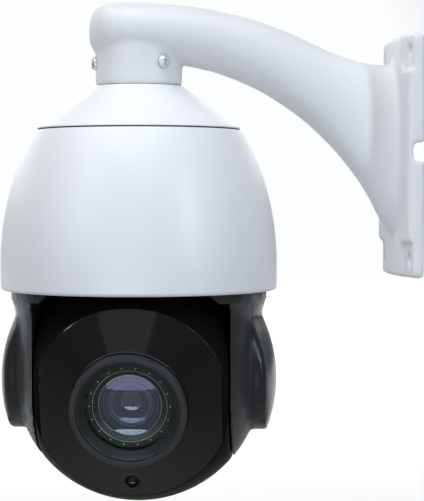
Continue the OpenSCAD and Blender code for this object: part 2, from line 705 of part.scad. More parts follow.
module head_shell_rear() color(black) along_lens() difference() {
  union() {
    difference() {
      intersection() {
        ball_body(ball_r, ball_flat);
        translate([0, 0, -50 - ball_split]) cube([200, 200, 100], center = true);
      }
      ball_body(ball_r - ball_wall, ball_flat - ball_wall);
    }
    intersection() {
      ball_body(ball_r - 0.5, ball_flat);
      for (p = head_boss_pts) translate([p[0], p[1], -50 - ball_split]) cylinder(r = 5, h = 50);
    }
  }
  for (p = head_boss_pts) translate([p[0], p[1], -80]) cylinder(r = 1.7, h = 80);
  for (p = head_boss_pts) translate([p[0], p[1], -80 - ball_split]) cylinder(r = 3.2, h = 70);
}

module head_screws() color(steel) along_lens() for (p = head_boss_pts)
  translate([p[0], p[1], -10 - ball_split]) mirror([0, 0, 1]) pan_screw(3, 19, 2.8, 2.2);

module tilt_axles() color(alloy) at_head() for (s = [-1, 1]) side(s) difference() {
  union() {
    translate([0, 0, ball_flat - ball_wall - 2.5]) cylinder(r = 16, h = 2.5);
    translate([0, 0, ball_flat - ball_wall - 2.5]) cylinder(r = axle_r, h = 61 - ball_flat + ball_wall + 2.5);
    translate([0, 0, 60]) cylinder(r = 8, h = tilt_pulley_x + tilt_pulley_w + 0.6 - 60);
  }
  translate([0, 0, 40]) cylinder(r = 6, h = 40);
  for (a = [45:90:315]) rotate([0, 0, a]) translate([13, 0, 40]) cylinder(r = 1.4, h = 13);
}

module axle_screws() color(steel) at_head() for (s = [-1, 1]) side(s) for (a = [45:90:315])
  rotate([0, 0, a]) translate([13, 0, ball_flat - ball_wall - 2.5]) mirror([0, 0, 1])
    pan_screw(2.5, 4.4, 2.2, 1.5);

module tilt_bearing_inner() color(steel) at_head() for (s = [-1, 1]) side(s)
  bearing_races([tilt_bearing_x], axle_r, tilt_bearing_r, tilt_bearing_w, false);

module tilt_pulley() color(alloy) at_head() side(1) translate([0, 0, tilt_pulley_x])
  pulley(tilt_pulley_r, tilt_pulley_w, 8, 1.4);

function cone_d(r) = window_base + (window_edge - r) * cone_slope;

module ir_window() color(gloss) along_lens() difference() {
  intersection() {
    rotate_extrude() polygon([[hood_r + fit, cone_d(hood_r)], [hood_r + fit, cone_d(hood_r) - 2.8],
      [52.2, cone_d(52.2) - 2.8], [52.2, window_base - 2.6], [54.9 - fit, window_base - 2.6],
      [54.9 - fit, cone_d(54.9 - fit)]]);
    cube([2 * window_half, 200, 200], center = true);
  }
  translate([0, -sensor_ring, window_base - 10]) cylinder(r = 4.5, h = 30);
}

module lens_hood() color(black) along_lens() difference() {
  union() {
    rotate_extrude() polygon(concat([[26, 48], [37, 48], [37, 50.2], [hood_r, 50.2]],
      arc_pts(hood_r - 1, hood_top - 1, 1, 0, 90, 4), arc_pts(30, hood_top - 1, 1, 90, 180, 4),
      [[28.6, hood_top - 3], [24.8, 54], [24.8, 53.5], [27, 53.5], [27, 50.3], [26, 50.3]]));
    for (a = [0:90:270]) rotate([0, 0, a]) translate([30.5, 0, carrier_d + carrier_t])
      cylinder(r = 2.9, h = 48.5 - carrier_d - carrier_t);
  }
  for (a = [0:90:270]) rotate([0, 0, a]) translate([30.5, 0, carrier_d + carrier_t - 1])
    cylinder(r = 1.25 + fit / 2, h = 7);
}

module lens_window() color(clear) along_lens() translate([0, 0, 51.5]) cylinder(r = 27 - fit, h = 2);

carrier_pts = [for (a = [52, 128, 232, 308]) [53.6 * cos(a), 53.6 * sin(a)]];
block_pts = [for (sx = [-1, 1]) for (sy = [-1, 1]) [sx * 20.5, sy * 20.5]];

module front_carrier() color(alloy) along_lens() difference() {
  intersection() {
    translate([0, 0, carrier_d]) cylinder(r = 56, h = carrier_t);
    cube([101, 200, 200], center = true);
  }
  translate([0, 0, carrier_d - 1]) cylinder(r = barrel_r + fit, h = 5);
  for (p = carrier_pts) translate([p[0], p[1], carrier_d - 1]) cylinder(r = 1.4, h = 5);
  for (p = block_pts) translate([p[0], p[1], carrier_d - 1]) cylinder(r = 1.4, h = 5);
  for (a = [0:90:270]) rotate([0, 0, a]) translate([30.5, 0, carrier_d - 1]) cylinder(r = 1.4, h = 5);
}

led_angles = [for (i = [0:led_count - 1]) 360 / led_count * (i + 0.5)];

module ir_led_board() color(board) along_lens() translate([0, 0, carrier_d + carrier_t])
  difference() {
    intersection() {
      cylinder(r = 50.5, h = board_t);
      cube([94, 200, 20], center = true);
    }
    translate([0, 0, -1]) cylinder(r = 34.5, h = 5);
  }

module light_sensor() color(gloss) along_lens() translate([0, -sensor_ring, 0]) difference() {
  translate([0, 0, carrier_d + carrier_t + board_t]) cylinder(r = 4.35, h = 8.6);
  translate([0, 0, carrier_d + carrier_t + board_t + 8.6 + 5.5]) sphere(r = 6.6);
}

module zoom_block() color(black) along_lens() difference() {
  translate([0, 0, carrier_d - 74]) linear_extrude(height = 74) rounded_rect(2 * block_half, 2 * block_half, 3);
  translate([0, 0, -28]) cylinder(r = block_bore, h = 70);
  translate([0, 0, -30]) cube([18, 18, 30], center = true);
  for (p = block_pts) translate([p[0], p[1], carrier_d - 8]) cylinder(r = 1.25 + fit / 2, h = 10);
  for (s = [-1, 1]) translate([s * 13, 0, -30]) cylinder(r = 1.2 + fit / 2, h = 10);
}

module lens_barrel() color(black) along_lens() difference() {
  translate([0, 0, carrier_d]) cylinder(r = barrel_r, h = 11);
  translate([0, 0, carrier_d - 1]) cylinder(r = 18.2, h = 14);
  translate([0, 0, carrier_d + 6.5]) cylinder(r = 20.6, h = 10);
}

module retaining_ring() color(black) along_lens() translate([0, 0, carrier_d + 11]) difference() {
  ring(barrel_r, 20.6, 1.6);
  for (i = [0:17]) rotate([0, 0, i * 20]) translate([21.9, 0, 1.2]) cylinder(r = 0.35, h = 1);
}

module front_lens() color(clear) along_lens() intersection() {
  translate([0, 0, carrier_d + 6.5]) cylinder(r = 20.5, h = 9);
  translate([0, 0, carrier_d + 13.4 - 60]) sphere(r = 60);
}

module guide_rods() color(steel) along_lens() for (s = [-1, 1]) translate([s * 13, 0, -30])
  cylinder(r = 1.2, h = 65.5);

module lens_group(d, h) along_lens() translate([0, 0, d]) difference() {
  cylinder(r = group_r, h = h);
  for (s = [-1, 1]) translate([s * 13, 0, -1]) cylinder(r = 1.2 + fit, h = h + 2);
  translate([0, 0, h + 20 - 2]) sphere(r = 20, $fn = 96);
}

module zoom_group() color(clear) lens_group(8, 11);
module focus_group() color(clear) lens_group(-14, 7);

module cap_screws() color(steel) at_dome() {
  for (i = [0:5]) rotate([0, 0, i * 60]) translate([50.2, 0, bell_height - 3])
    mirror([0, 0, 1]) pan_screw(3, 6.2, 2.8, 2.2);
  for (a = [0:90:270]) rotate([0, 0, a]) translate([22.4, 0, collar_base - 7])
    mirror([0, 0, 1]) pan_screw(3, 5.5, 2.8, 2.2);
}

module chassis_screws() color(steel) at_dome() for (i = [0:3]) {
  rotate([0, 0, 45 + i * 90]) translate([boss_ring, 0, chassis_z]) mirror([0, 0, 1])
    pan_screw(3, 12, 2.8, 2.2);
  rotate([0, 0, i * 90]) translate([17, 0, chassis_z + chassis_t]) pan_screw(3, 5.8, 2.8, 2.2);
}

module deck_screws() color(steel) at_yoke() {
  for (a = [45:90:315]) rotate([0, 0, a]) translate([18, 0, deck_z + deck_thick])
    pan_screw(2.5, 8, 2.2, 1.6);
  for (a = deck_post_angles) rotate([0, 0, a]) translate([deck_post_ring, 0, deck_z + deck_thick])
    pan_screw(2.5, 8, 2.2, 1.6);
  for (a = [45:90:315]) translate([-pan_motor_x, 0, deck_z + deck_thick]) rotate([0, 0, a])
    translate([18.4, 0, 0]) pan_screw(3, 7, 2.6, 1.8);
  translate([54.5, 0, tilt_motor_z]) rotate([0, 90, 0]) for (a = [45:90:315]) rotate([0, 0, a])
    translate([12.6, 0, 0]) pan_screw(2.5, 6, 2.2, 1.5);
  for (s = [-1, 1]) translate([59, s * 12, deck_z + deck_thick]) pan_screw(2.5, 5, 2.2, 1.5);
}

module bearing_outer_rings() color(steel) at_yoke() {
  bearing_races(pan_bearing_z, post_r, bearing_r, bearing_w, true);
  translate([0, 0, -tilt_drop]) for (s = [-1, 1]) side(s)
    bearing_races([tilt_bearing_x], axle_r, tilt_bearing_r, tilt_bearing_w, true);
}

module bearing_balls() color(steel) at_yoke() {
  ball_rings(pan_bearing_z, post_r, bearing_r, bearing_w, 10);
  translate([0, 0, -tilt_drop]) for (s = [-1, 1]) side(s)
    ball_rings([tilt_bearing_x], axle_r, tilt_bearing_r, tilt_bearing_w, 12);
}

module driver_board() color(board) at_yoke() translate([-22, 26, deck_z - 8]) {
  difference() {
    union() {
      cube([44, 26, board_t]);
      for (x = [4, 40]) for (y = [4, 22]) translate([x, y, 0]) cylinder(r = 2.4, h = 8);
      translate([18, 8, -1.4]) cube([9, 9, 2]);
      translate([9, 19, -5]) cube([14, 5, 6]);
      translate([28, 3, -5]) cube([8, 5, 6]);
    }
    for (x = [4, 40]) for (y = [4, 22]) translate([x, y, -1]) cylinder(r = 1.2, h = 12);
  }
}

module sensor_board() color(board) along_lens() translate([0, 0, carrier_d - 74]) {
  translate([0, 0, -board_t]) linear_extrude(height = board_t)
    rounded_rect(2 * block_half - 4, 2 * block_half - 4, 2);
  translate([-7, -7, -tiny]) cube([14, 14, 1.6]);
}

module ir_lamps() color(clear) along_lens() for (a = led_angles) rotate([0, 0, a])
  translate([led_ring, 0, carrier_d + carrier_t + board_t]) {
    difference() {
      cylinder(r1 = 3.6, r2 = 5.2, h = 4.2);
      translate([0, 0, -1]) cylinder(r = 2.9, h = 2.9);
    }
    cylinder(r = 1.4, h = 2);
  }

module carrier_screws() color(steel) along_lens() {
  for (p = carrier_pts) translate([p[0], p[1], carrier_d + carrier_t]) pan_screw(2.5, 5.8, 2.1, 1.3);
  for (p = block_pts) translate([p[0], p[1], carrier_d + carrier_t]) pan_screw(2.5, 8, 2.1, 1.5);
  for (a = [0:90:270]) rotate([0, 0, a]) translate([30.5, 0, carrier_d]) mirror([0, 0, 1])
    pan_screw(2.5, 8, 2.3, 1.6);
}

wall_bracket();
collar_screws();
neck_tube();
cable_grommet();
top_cap();
cap_seal();
bell_housing();
cap_screws();
chassis_plate();
chassis_screws();
main_board();
board_standoffs();
board_connectors();
pan_post();
pan_pulley();
pan_bearing_inner();
retaining_clip();
slip_ring_stator();
yoke_frame();
left_arm_cover();
right_arm_cover();
cover_screws();
pan_deck();
deck_screws();
bearing_outer_rings();
bearing_balls();
bearing_spacer();
slip_ring_rotor();
pan_motor();
pan_belt();
tilt_motor();
tilt_motor_bracket();
tilt_belt();
driver_board();
pan_pinion();
tilt_pinion();
head_shell_front();
head_shell_rear();
head_screws();
tilt_axles();
axle_screws();
tilt_bearing_inner();
tilt_pulley();
ir_window();
lens_hood();
lens_window();
front_carrier();
carrier_screws();
ir_led_board();
ir_lamps();
light_sensor();
zoom_block();
lens_barrel();
retaining_ring();
front_lens();
guide_rods();
sensor_board();
zoom_group();
focus_group();
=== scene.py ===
"""Looks of the speed dome camera on its cast wall bracket.

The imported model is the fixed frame. Each sub-assembly is one class: it holds its sizes in
metres, builds its meshes with bmesh and dresses them in a procedural finish.
"""

from __future__ import annotations

import json
import logging
import math
from dataclasses import dataclass, field
from enum import Enum
from typing import Any, Callable, Sequence

import bmesh
import bpy
from mathutils import Matrix, Vector


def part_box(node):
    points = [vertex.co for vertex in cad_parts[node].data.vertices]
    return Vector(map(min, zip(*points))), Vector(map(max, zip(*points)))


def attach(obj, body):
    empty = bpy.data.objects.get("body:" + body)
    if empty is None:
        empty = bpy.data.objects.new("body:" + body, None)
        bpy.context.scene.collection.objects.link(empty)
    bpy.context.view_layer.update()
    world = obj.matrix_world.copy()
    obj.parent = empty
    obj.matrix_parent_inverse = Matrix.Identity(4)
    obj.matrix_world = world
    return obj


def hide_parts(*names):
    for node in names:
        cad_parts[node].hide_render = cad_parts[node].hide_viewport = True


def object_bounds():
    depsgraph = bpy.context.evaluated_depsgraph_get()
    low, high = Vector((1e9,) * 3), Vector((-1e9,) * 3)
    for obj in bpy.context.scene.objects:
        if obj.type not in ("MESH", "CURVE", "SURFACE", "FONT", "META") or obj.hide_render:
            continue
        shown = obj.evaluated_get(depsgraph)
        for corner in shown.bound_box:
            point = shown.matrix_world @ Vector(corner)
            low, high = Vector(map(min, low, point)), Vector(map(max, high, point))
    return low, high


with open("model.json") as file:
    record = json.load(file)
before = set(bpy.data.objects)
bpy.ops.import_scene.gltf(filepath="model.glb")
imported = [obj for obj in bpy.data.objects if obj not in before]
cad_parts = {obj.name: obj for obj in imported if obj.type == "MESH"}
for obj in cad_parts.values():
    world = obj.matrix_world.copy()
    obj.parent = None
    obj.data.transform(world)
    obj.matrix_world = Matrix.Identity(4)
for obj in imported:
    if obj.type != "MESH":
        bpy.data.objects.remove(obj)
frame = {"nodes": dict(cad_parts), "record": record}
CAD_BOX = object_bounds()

LOG = logging.getLogger("speed_dome")
MM = 0.001
Profile = list[tuple[float, float]]
Colour = tuple[float, float, float]


# --------------------------------------------------------------------------- places
def joint(name: str) -> dict[str, Any]:
    """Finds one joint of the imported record.

    Args:
        name: The joint's name.

    Returns:
        The joint's entry in the record.
    """
    joints = frame["record"]["behaviour"]["joints"]
    return next(j for j in joints if j["name"] == name)


def axes(origin: Vector, x: Vector, z: Vector) -> Matrix:
    """Builds a frame from an origin and two perpendicular directions.

    Args:
        origin: Where the frame sits.
        x: Its X direction.
        z: Its Z direction.

    Returns:
        The 4 by 4 matrix from that frame to the row frame.
    """
    y = z.cross(x)
    turn = Matrix((x, y, z)).transposed().to_4x4()
    return Matrix.Translation(origin) @ turn


class Places:
    """The frames that the pieces are built in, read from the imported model."""

    def __init__(self) -> None:
        """Reads the joints and the bell's box."""
        bell_low, bell_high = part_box("bell_housing")
        tilt = joint("tilt")
        lens = Vector(joint("zoom_slide")["axis"]).normalized()
        across = Vector(tilt["axis"]).normalized()
        pivot = Vector(tilt["pos_m"])
        pan_x, pan_y = joint("pan")["pos_m"][:2]
        self.rim_z: float = bell_low[2]
        self.bell_r: float = (bell_high[0] - bell_low[0]) / 2
        self.dome = Matrix.Translation(Vector((pan_x, pan_y, self.rim_z)))
        self.lens = axes(pivot, across, lens)
        self.yoke = axes(Vector((pan_x, pan_y, self.rim_z)), across, Vector((0, 0, 1)))
        self.pivot = pivot


PLACES = Places()


# --------------------------------------------------------------------------- shader maths
class Value:
    """A socket that can be used in Python arithmetic; each operator adds one node."""

    def __init__(self, graph: "Graph", socket: bpy.types.NodeSocket) -> None:
        """Wraps a socket of a graph."""
        self.graph = graph
        self.socket = socket

    def _calc(self, operation: str, *others: "Value | float") -> "Value":
        """Adds one Math node with this value first."""
        return self.graph.maths(operation, self, *others)

    def __add__(self, other: "Value | float") -> "Value":
        """Returns self + other."""
        return self._calc("ADD", other)

    __radd__ = __add__

    def __mul__(self, other: "Value | float") -> "Value":
        """Returns self * other."""
        return self._calc("MULTIPLY", other)

    __rmul__ = __mul__

    def __rsub__(self, other: float) -> "Value":
        """Returns other - self."""
        return self.graph.maths("SUBTRACT", other, self)

    def __gt__(self, other: "Value | float") -> "Value":
        """Returns 1 where self is above other."""
        return self._calc("GREATER_THAN", other)

    def __lt__(self, other: "Value | float") -> "Value":
        """Returns 1 where self is below other."""
        return self._calc("LESS_THAN", other)


class Graph:
    """The node tree of one material or of the room."""

    def __init__(self, owner: bpy.types.Material | bpy.types.World) -> None:
        """Empties the node tree of a material or a world.

        Args:
            owner: The material or world.
        """
        self.owner = owner
        owner.use_nodes = True
        self.tree = owner.node_tree
        self.tree.nodes.clear()

    def node(self, kind: str, settings: dict[str, Any] | None = None, **inputs: Any) -> bpy.types.Node:
        """Adds any node.

        Args:
            kind: The node's type, such as ShaderNodeTexNoise.
            settings: Properties that are set first, such as operation.
            **inputs: Socket values or links, named as the socket with _ for a space; a name
                such as input_1 is the socket of that index.

        Returns:
            The new node.
        """
        node = self.tree.nodes.new(kind)
        for key, value in (settings or {}).items():
            setattr(node, key, value)
        for key, value in inputs.items():
            if key.startswith("input_"):
                socket = node.inputs[int(key[6:])]
            else:
                socket = node.inputs[key.replace("_", " ")]
            if isinstance(value, Value):
                self.tree.links.new(value.socket, socket)
            else:
                socket.default_value = value
        return node

    def out(self, node: bpy.types.Node, name: str | int = 0) -> Value:
        """Wraps one output of a node."""
        return Value(self, node.outputs[name])

    def maths(self, operation: str, *terms: Value | float) -> Value:
        """Adds one Math node over the given terms."""
        inputs = {f"input_{i}": term for i, term in enumerate(terms)}
        return self.out(self.node("ShaderNodeMath", {"operation": operation}, **inputs))

    def place(self, matrix: Matrix | None = None, scale: Sequence[float] = (1, 1, 1)) -> Value:
        """Gives Object coordinates, or the same seen from a piece's own frame.

        Args:
            matrix: The piece's frame, or None for the row frame.
            scale: A stretch of the pattern along the frame's own axes.

        Returns:
            The vector to feed a texture with.
        """
        point = self.out(self.node("ShaderNodeTexCoord"), "Object")
        if matrix is None:
            return self.out(self.node("ShaderNodeMapping", None, Vector=point, Scale=tuple(scale)))
        back = matrix.inverted()
        turn = tuple(back.to_euler("XYZ"))
        moved = self.node("ShaderNodeMapping", None, Vector=point,
                          Location=tuple(back.translation), Rotation=turn)
        return self.out(self.node("ShaderNodeMapping", None, Vector=self.out(moved), Scale=tuple(scale)))

    def split(self, vector: Value) -> tuple[Value, Value, Value]:
        """Splits a vector into its three parts."""
        node = self.node("ShaderNodeSeparateXYZ", None, Vector=vector)
        return self.out(node, 0), self.out(node, 1), self.out(node, 2)

    def noise(self, vector: Value, scale: float, detail: float = 3.0, roughness: float = 0.5) -> Value:
        """Adds a noise texture and gives its grey value."""
        node = self.node("ShaderNodeTexNoise", None, Vector=vector, Scale=scale, Detail=detail,
                         Roughness=roughness)
        return self.out(node, "Fac")

    def cells(self, vector: Value, scale: float) -> Value:
        """Adds a cell texture and gives the distance to the nearest cell centre."""
        return self.out(self.node("ShaderNodeTexVoronoi", None, Vector=vector, Scale=scale), "Distance")

    def spread(self, value: Value, low: float, high: float, to_low: float, to_high: float) -> Value:
        """Maps a value's range onto another, without going past its ends."""
        node = self.node("ShaderNodeMapRange", None, Value=value, From_Min=low, From_Max=high,
                         To_Min=to_low, To_Max=to_high)
        return self.out(node)

    def blend(self, amount: Value | float, first: Any, second: Any) -> Value:
        """Mixes two colours."""
        node = self.node("ShaderNodeMix", {"data_type": "RGBA", "blend_type": "MIX"})
        for index, value in ((0, amount), (6, first), (7, second)):
            if isinstance(value, Value):
                self.tree.links.new(value.socket, node.inputs[index])
            elif index:
                node.inputs[index].default_value = (*value, 1.0)
            else:
                node.inputs[index].default_value = value
        return self.out(node, 2)

    def bump(self, height: Value, strength: float, depth: float) -> Value:
        """Turns a height into a normal.

        Args:
            height: The height field.
            strength: How much of it is used.
            depth: The height of a full step, in metres.

        Returns:
            The normal.
        """
        return self.out(self.node("ShaderNodeBump", None, Height=height, Strength=strength,
                                  Distance=depth), "Normal")

    def surface(self, **inputs: Any) -> bpy.types.Material:
        """Closes the graph with a Principled shader."""
        shader = self.node("ShaderNodeBsdfPrincipled", None, **inputs)
        return self.close(self.out(shader))

    def close(self, shader: Value) -> bpy.types.Material:
        """Closes the graph with any shader."""
        self.node("ShaderNodeOutputMaterial", None, Surface=shader)
        return self.owner


# --------------------------------------------------------------------------- finishes
@dataclass(frozen=True)
class Finish:
    """A finish that is made once and shared by its pieces."""

    name: str
    colour: Colour
    roughness: float = 0.5

    def material(self) -> bpy.types.Material:
        """Returns the material, and makes it the first time."""
        return bpy.data.materials.get(self.name) or self.make(Graph(bpy.data.materials.new(self.name)))

    def make(self, graph: Graph) -> bpy.types.Material:
        """Builds the material.

        Args:
            graph: An empty graph with the finish's name.

        Returns:
            The finished material.
        """
        raise NotImplementedError

    def tinted(self, factor: float) -> Colour:
        """Returns the colour, darker or lighter by a factor."""
        return tuple(min(1.0, part * factor) for part in self.colour)


@dataclass(frozen=True)
class PaintedMetal(Finish):
    """Paint on metal: fine orange peel, faint clouding and a few settled specks."""

    grain: float = 1400.0
    grain_depth: float = 0.00005
    clouding: float = 0.05
    coat: float = 0.0

    def make(self, graph: Graph) -> bpy.types.Material:
        """Builds the paint."""
        point = graph.place()
        cloud = graph.noise(point, 22.0, 4.0, 0.55)
        peel = graph.noise(point, self.grain, 2.0, 0.6)
        fine = graph.noise(point, self.grain * 2.6, 1.0, 0.5)
        specks = graph.spread(graph.noise(point, 620.0, 1.0), 0.70, 0.78, 0.0, 1.0)
        shade = graph.spread(cloud, 0.3, 0.7, 1.0 - self.clouding, 1.0)
        base = graph.blend(graph.spread(shade, 0.8, 1.0, 1.0, 0.0), self.colour, self.tinted(0.86))
        grained = graph.blend(graph.spread(peel, 0.35, 0.65, 0.0, 0.06), base, self.tinted(0.72))
        flecked = graph.blend(specks * 0.10, grained, self.tinted(0.6))
        rough = graph.spread(cloud, 0.3, 0.7, self.roughness - 0.05, self.roughness + 0.06)
        normal = graph.bump(peel + fine * 0.5, 0.55, self.grain_depth)
        return graph.surface(Base_Color=flecked, Roughness=rough, Normal=normal,
                             Coat_Weight=self.coat, Coat_Roughness=0.25)


@dataclass(frozen=True)
class Moulding(Finish):
    """Moulded plastic: spark-eroded grain, handling sheen and faint dust."""

    grain: float = 2200.0
    grain_depth: float = 0.00003
    sheen_spread: float = 0.08
    dust: float = 0.05
    coat: float = 0.0
    shine: float = 0.35

    def make(self, graph: Graph) -> bpy.types.Material:
        """Builds the plastic."""
        point = graph.place()
        hands = graph.noise(point, 34.0, 5.0, 0.6)
        grain = graph.noise(point, self.grain, 2.0, 0.7)
        dust = graph.spread(graph.noise(point, 900.0, 2.0), 0.62, 0.74, 0.0, self.dust)
        worn = graph.blend(graph.spread(hands, 0.35, 0.7, 0.0, 0.5), self.colour, self.tinted(1.35))
        dusty = graph.blend(dust, worn, (0.42, 0.41, 0.39))
        rough = graph.spread(hands, 0.3, 0.7, self.roughness - self.sheen_spread,
                             self.roughness + self.sheen_spread)
        normal = graph.bump(grain, 0.5, self.grain_depth)
        return graph.surface(Base_Color=dusty, Roughness=rough, Normal=normal, Coat_Weight=self.coat,
                             Coat_Roughness=0.22, Specular_IOR_Level=self.shine)


@dataclass(frozen=True)
class PolishedPlastic(Finish):
    """Polished infra-red-passing plastic: deep gloss with a faint wipe haze."""

    def make(self, graph: Graph) -> bpy.types.Material:
        """Builds the gloss."""
        point = graph.place()
        haze = graph.noise(point, 40.0, 6.0, 0.65)
        flow = graph.noise(point, 12.0, 1.0)
        specks = graph.spread(graph.noise(point, 1500.0, 1.0), 0.74, 0.80, 0.0, 0.20)
        colour = graph.blend(specks, self.colour, (0.22, 0.22, 0.22))
        rough = graph.spread(haze, 0.35, 0.75, self.roughness, self.roughness + 0.07)
        return graph.surface(Base_Color=colour, Roughness=rough, Specular_IOR_Level=0.45,
                             Normal=graph.bump(flow, 0.08, 0.0002))


@dataclass(frozen=True)
class Metal(Finish):
    """Bare or plated metal with machining lines and light tarnish."""

    lines: float = 1600.0
    stretch: tuple[float, float, float] = (0.06, 1.0, 1.0)
    line_depth: float = 0.00001

    def make(self, graph: Graph) -> bpy.types.Material:
        """Builds the metal."""
        point = graph.place()
        drawn = graph.noise(graph.place(None, self.stretch), self.lines, 2.0, 0.6)
        tarnish = graph.noise(point, 60.0, 4.0, 0.6)
        colour = graph.blend(graph.spread(tarnish, 0.4, 0.75, 0.0, 0.6), self.colour, self.tinted(0.78))
        rough = graph.spread(drawn, 0.3, 0.7, self.roughness - 0.06, self.roughness + 0.08)
        return graph.surface(Base_Color=colour, Metallic=1.0, Roughness=rough,
                             Normal=graph.bump(drawn, 0.35, self.line_depth))


@dataclass(frozen=True)
class Circuit(Finish):
    """Circuit board: solder mask over tracks, with tinned pads."""

    def make(self, graph: Graph) -> bpy.types.Material:
        """Builds the board."""
        point = graph.place()
        tracks = graph.out(graph.node("ShaderNodeTexBrick", None, Vector=point, Scale=260.0,
                                      Mortar_Size=0.03), "Fac")
        pads = graph.cells(point, 420.0) < 0.18
        masked = graph.blend(tracks * 0.7, self.colour, self.tinted(1.7))
        colour = graph.blend(pads, masked, (0.72, 0.72, 0.70))
        return graph.surface(Base_Color=colour, Metallic=pads, Roughness=0.32 + 0.1 * tracks,
                             Normal=graph.bump(tracks + pads, 0.4, 0.00004))


@dataclass(frozen=True)
class CoatedGlass(Finish):
    """Coated optical glass: mostly clear, with its own reflection tint on each of its two faces."""

    front: Colour = (1.0, 1.0, 1.0)
    back: Colour = (1.0, 1.0, 1.0)
    front_share: float = 0.0
    back_share: float = 0.0
    middle: float = 0.0
    edge_radius: float = 0.018
    edge_share: float = 0.55
    ring_pitch: float = 2600.0

    def make(self, graph: Graph) -> bpy.types.Material:
        """Builds the glass, with its coatings parted at a depth along the lens axis."""
        smear = graph.noise(graph.place(), 90.0, 5.0, 0.65)
        x, y, depth = graph.split(graph.place(PLACES.lens))
        radius = graph.maths("SQRT", x * x + y * y)
        ahead = depth > self.middle
        bands = graph.spread(graph.maths("SINE", radius * self.ring_pitch), -1.0, 1.0, 0.75, 1.0)
        level = ahead * self.front_share + (1.0 - ahead) * self.back_share
        share = level * graph.spread(smear, 0.3, 0.7, 0.8, 1.0) * bands
        rim = graph.spread(radius, self.edge_radius * 0.7, self.edge_radius, 1.0, self.edge_share)
        tint = graph.blend(ahead, self.back, self.front)
        shine = graph.node("ShaderNodeBsdfPrincipled", None, Metallic=1.0,
                           Base_Color=graph.blend(rim, (0.9, 0.9, 1.0), tint),
                           Roughness=graph.spread(smear, 0.4, 0.8, self.roughness, self.roughness + 0.03))
        through = graph.node("ShaderNodeBsdfTransparent", None, Color=(*self.colour, 1.0))
        mixed = graph.node("ShaderNodeMixShader", None, Fac=share)
        graph.tree.links.new(through.outputs[0], mixed.inputs[1])
        graph.tree.links.new(shine.outputs[0], mixed.inputs[2])
        return graph.close(graph.out(mixed))


@dataclass(frozen=True)
class StageFloor(Finish):
    """The plain pale floor."""

    def make(self, graph: Graph) -> bpy.types.Material:
        """Builds the floor."""
        soft = graph.noise(graph.place(), 3.0, 2.0)
        colour = graph.blend(soft * 0.03, self.colour, self.tinted(0.9))
        return graph.surface(Base_Color=colour, Roughness=self.roughness)


BRACKET_PAINT = PaintedMetal("bracket_powder_coat", (0.74, 0.745, 0.75), 0.50, grain=1500.0,
                             grain_depth=0.00007)
BELL_PAINT = PaintedMetal("bell_enamel", (0.76, 0.765, 0.775), 0.40, grain=2100.0,
                          grain_depth=0.00004, clouding=0.03, coat=0.15)
# The cap has the bell's enamel, made lighter as painted light from the lamp above on its upward faces.
LIT_CAP_PAINT = PaintedMetal("cap_enamel_painted_light", (0.82, 0.825, 0.83), 0.40, grain=2100.0, grain_depth=0.00004,
                         clouding=0.03, coat=0.15)
YOKE_PLASTIC = Moulding("yoke_satin", (0.016, 0.016, 0.018), 0.36, coat=0.10)
COVER_PLASTIC = Moulding("cover_satin", (0.013, 0.014, 0.016), 0.27, coat=0.15)
BALL_PLASTIC = Moulding("ball_matt", (0.0045, 0.0045, 0.005), 0.42, grain=1700.0, grain_depth=0.00005,
                        dust=0.01, shine=0.03)
HOOD_PLASTIC = Moulding("hood_matt", (0.024, 0.025, 0.026), 0.34, grain=1900.0, dust=0.02)
INNER_BLACK = Moulding("inner_black", (0.018, 0.018, 0.019), 0.55, grain=1200.0)
WINDOW_GLOSS = PolishedPlastic("window_gloss", (0.0042, 0.0042, 0.0046), 0.05)
SENSOR_GLOSS = PolishedPlastic("sensor_gloss", (0.006, 0.006, 0.007), 0.04)
RING_BLACK = Moulding("ring_anodised", (0.010, 0.017, 0.011), 0.30, grain=2600.0, dust=0.02)
MARK_WHITE = Moulding("ring_marks", (0.52, 0.58, 0.52), 0.45)
CORE_BLACK = Moulding("lens_core", (0.012, 0.013, 0.012), 0.5, grain=1500.0, dust=0.01)
# Light grey of the thin rings on the lens cell edges: painted highlight lines.
EDGE_HIGHLIGHT_GREY = Moulding("lens_edges_painted_highlight", (0.34, 0.35, 0.37), 0.28, grain=2600.0, dust=0.02, coat=0.3)
# Red of the two pupil beads: a painted red glint where the lens shows a red reflection.
PAINTED_GLINT_RED = Moulding("painted_red_glint", (0.75, 0.03, 0.02), 0.3, dust=0.0)
SCREW_STEEL = Metal("screw_steel", (0.74, 0.74, 0.75), 0.22)
BEARING_STEEL = Metal("bearing_steel", (0.70, 0.70, 0.72), 0.14)
TURNED_ALLOY = Metal("turned_alloy", (0.80, 0.81, 0.82), 0.32)
BRASS = Metal("turned_brass", (0.82, 0.62, 0.30), 0.28)
MOTOR_CASE = PaintedMetal("motor_lacquer", (0.05, 0.05, 0.055), 0.35, grain=900.0)
RUBBER = Moulding("black_rubber", (0.022, 0.022, 0.022), 0.72, grain=700.0, dust=0.10)
BOARD = Circuit("green_board", (0.012, 0.13, 0.055), 0.35)
CLEAR_GLASS = CoatedGlass("clear_glass", (0.95, 0.98, 0.96), 0.01, front=(0.7, 1.0, 0.8),
                          back=(0.9, 0.8, 1.0), front_share=0.02, back_share=0.02, middle=0.0525)
FRONT_GLASS = CoatedGlass("front_glass", (0.95, 0.95, 1.0), 0.012, front=(0.62, 0.45, 1.0),
                          back=(0.70, 0.88, 1.0), front_share=0.055, back_share=0.14, middle=0.0483)
INNER_GLASS = CoatedGlass("inner_glass", (0.96, 0.92, 0.98), 0.015, back=(0.72, 0.74, 1.0),
                          back_share=0.15, middle=0.0460, edge_radius=0.0122)
PUPIL_GLASS = Metal("pupil_glass", (0.20, 0.185, 0.18), 0.08)
FLOOR_PAINT = StageFloor("studio_floor", (0.70, 0.70, 0.695), 0.8)


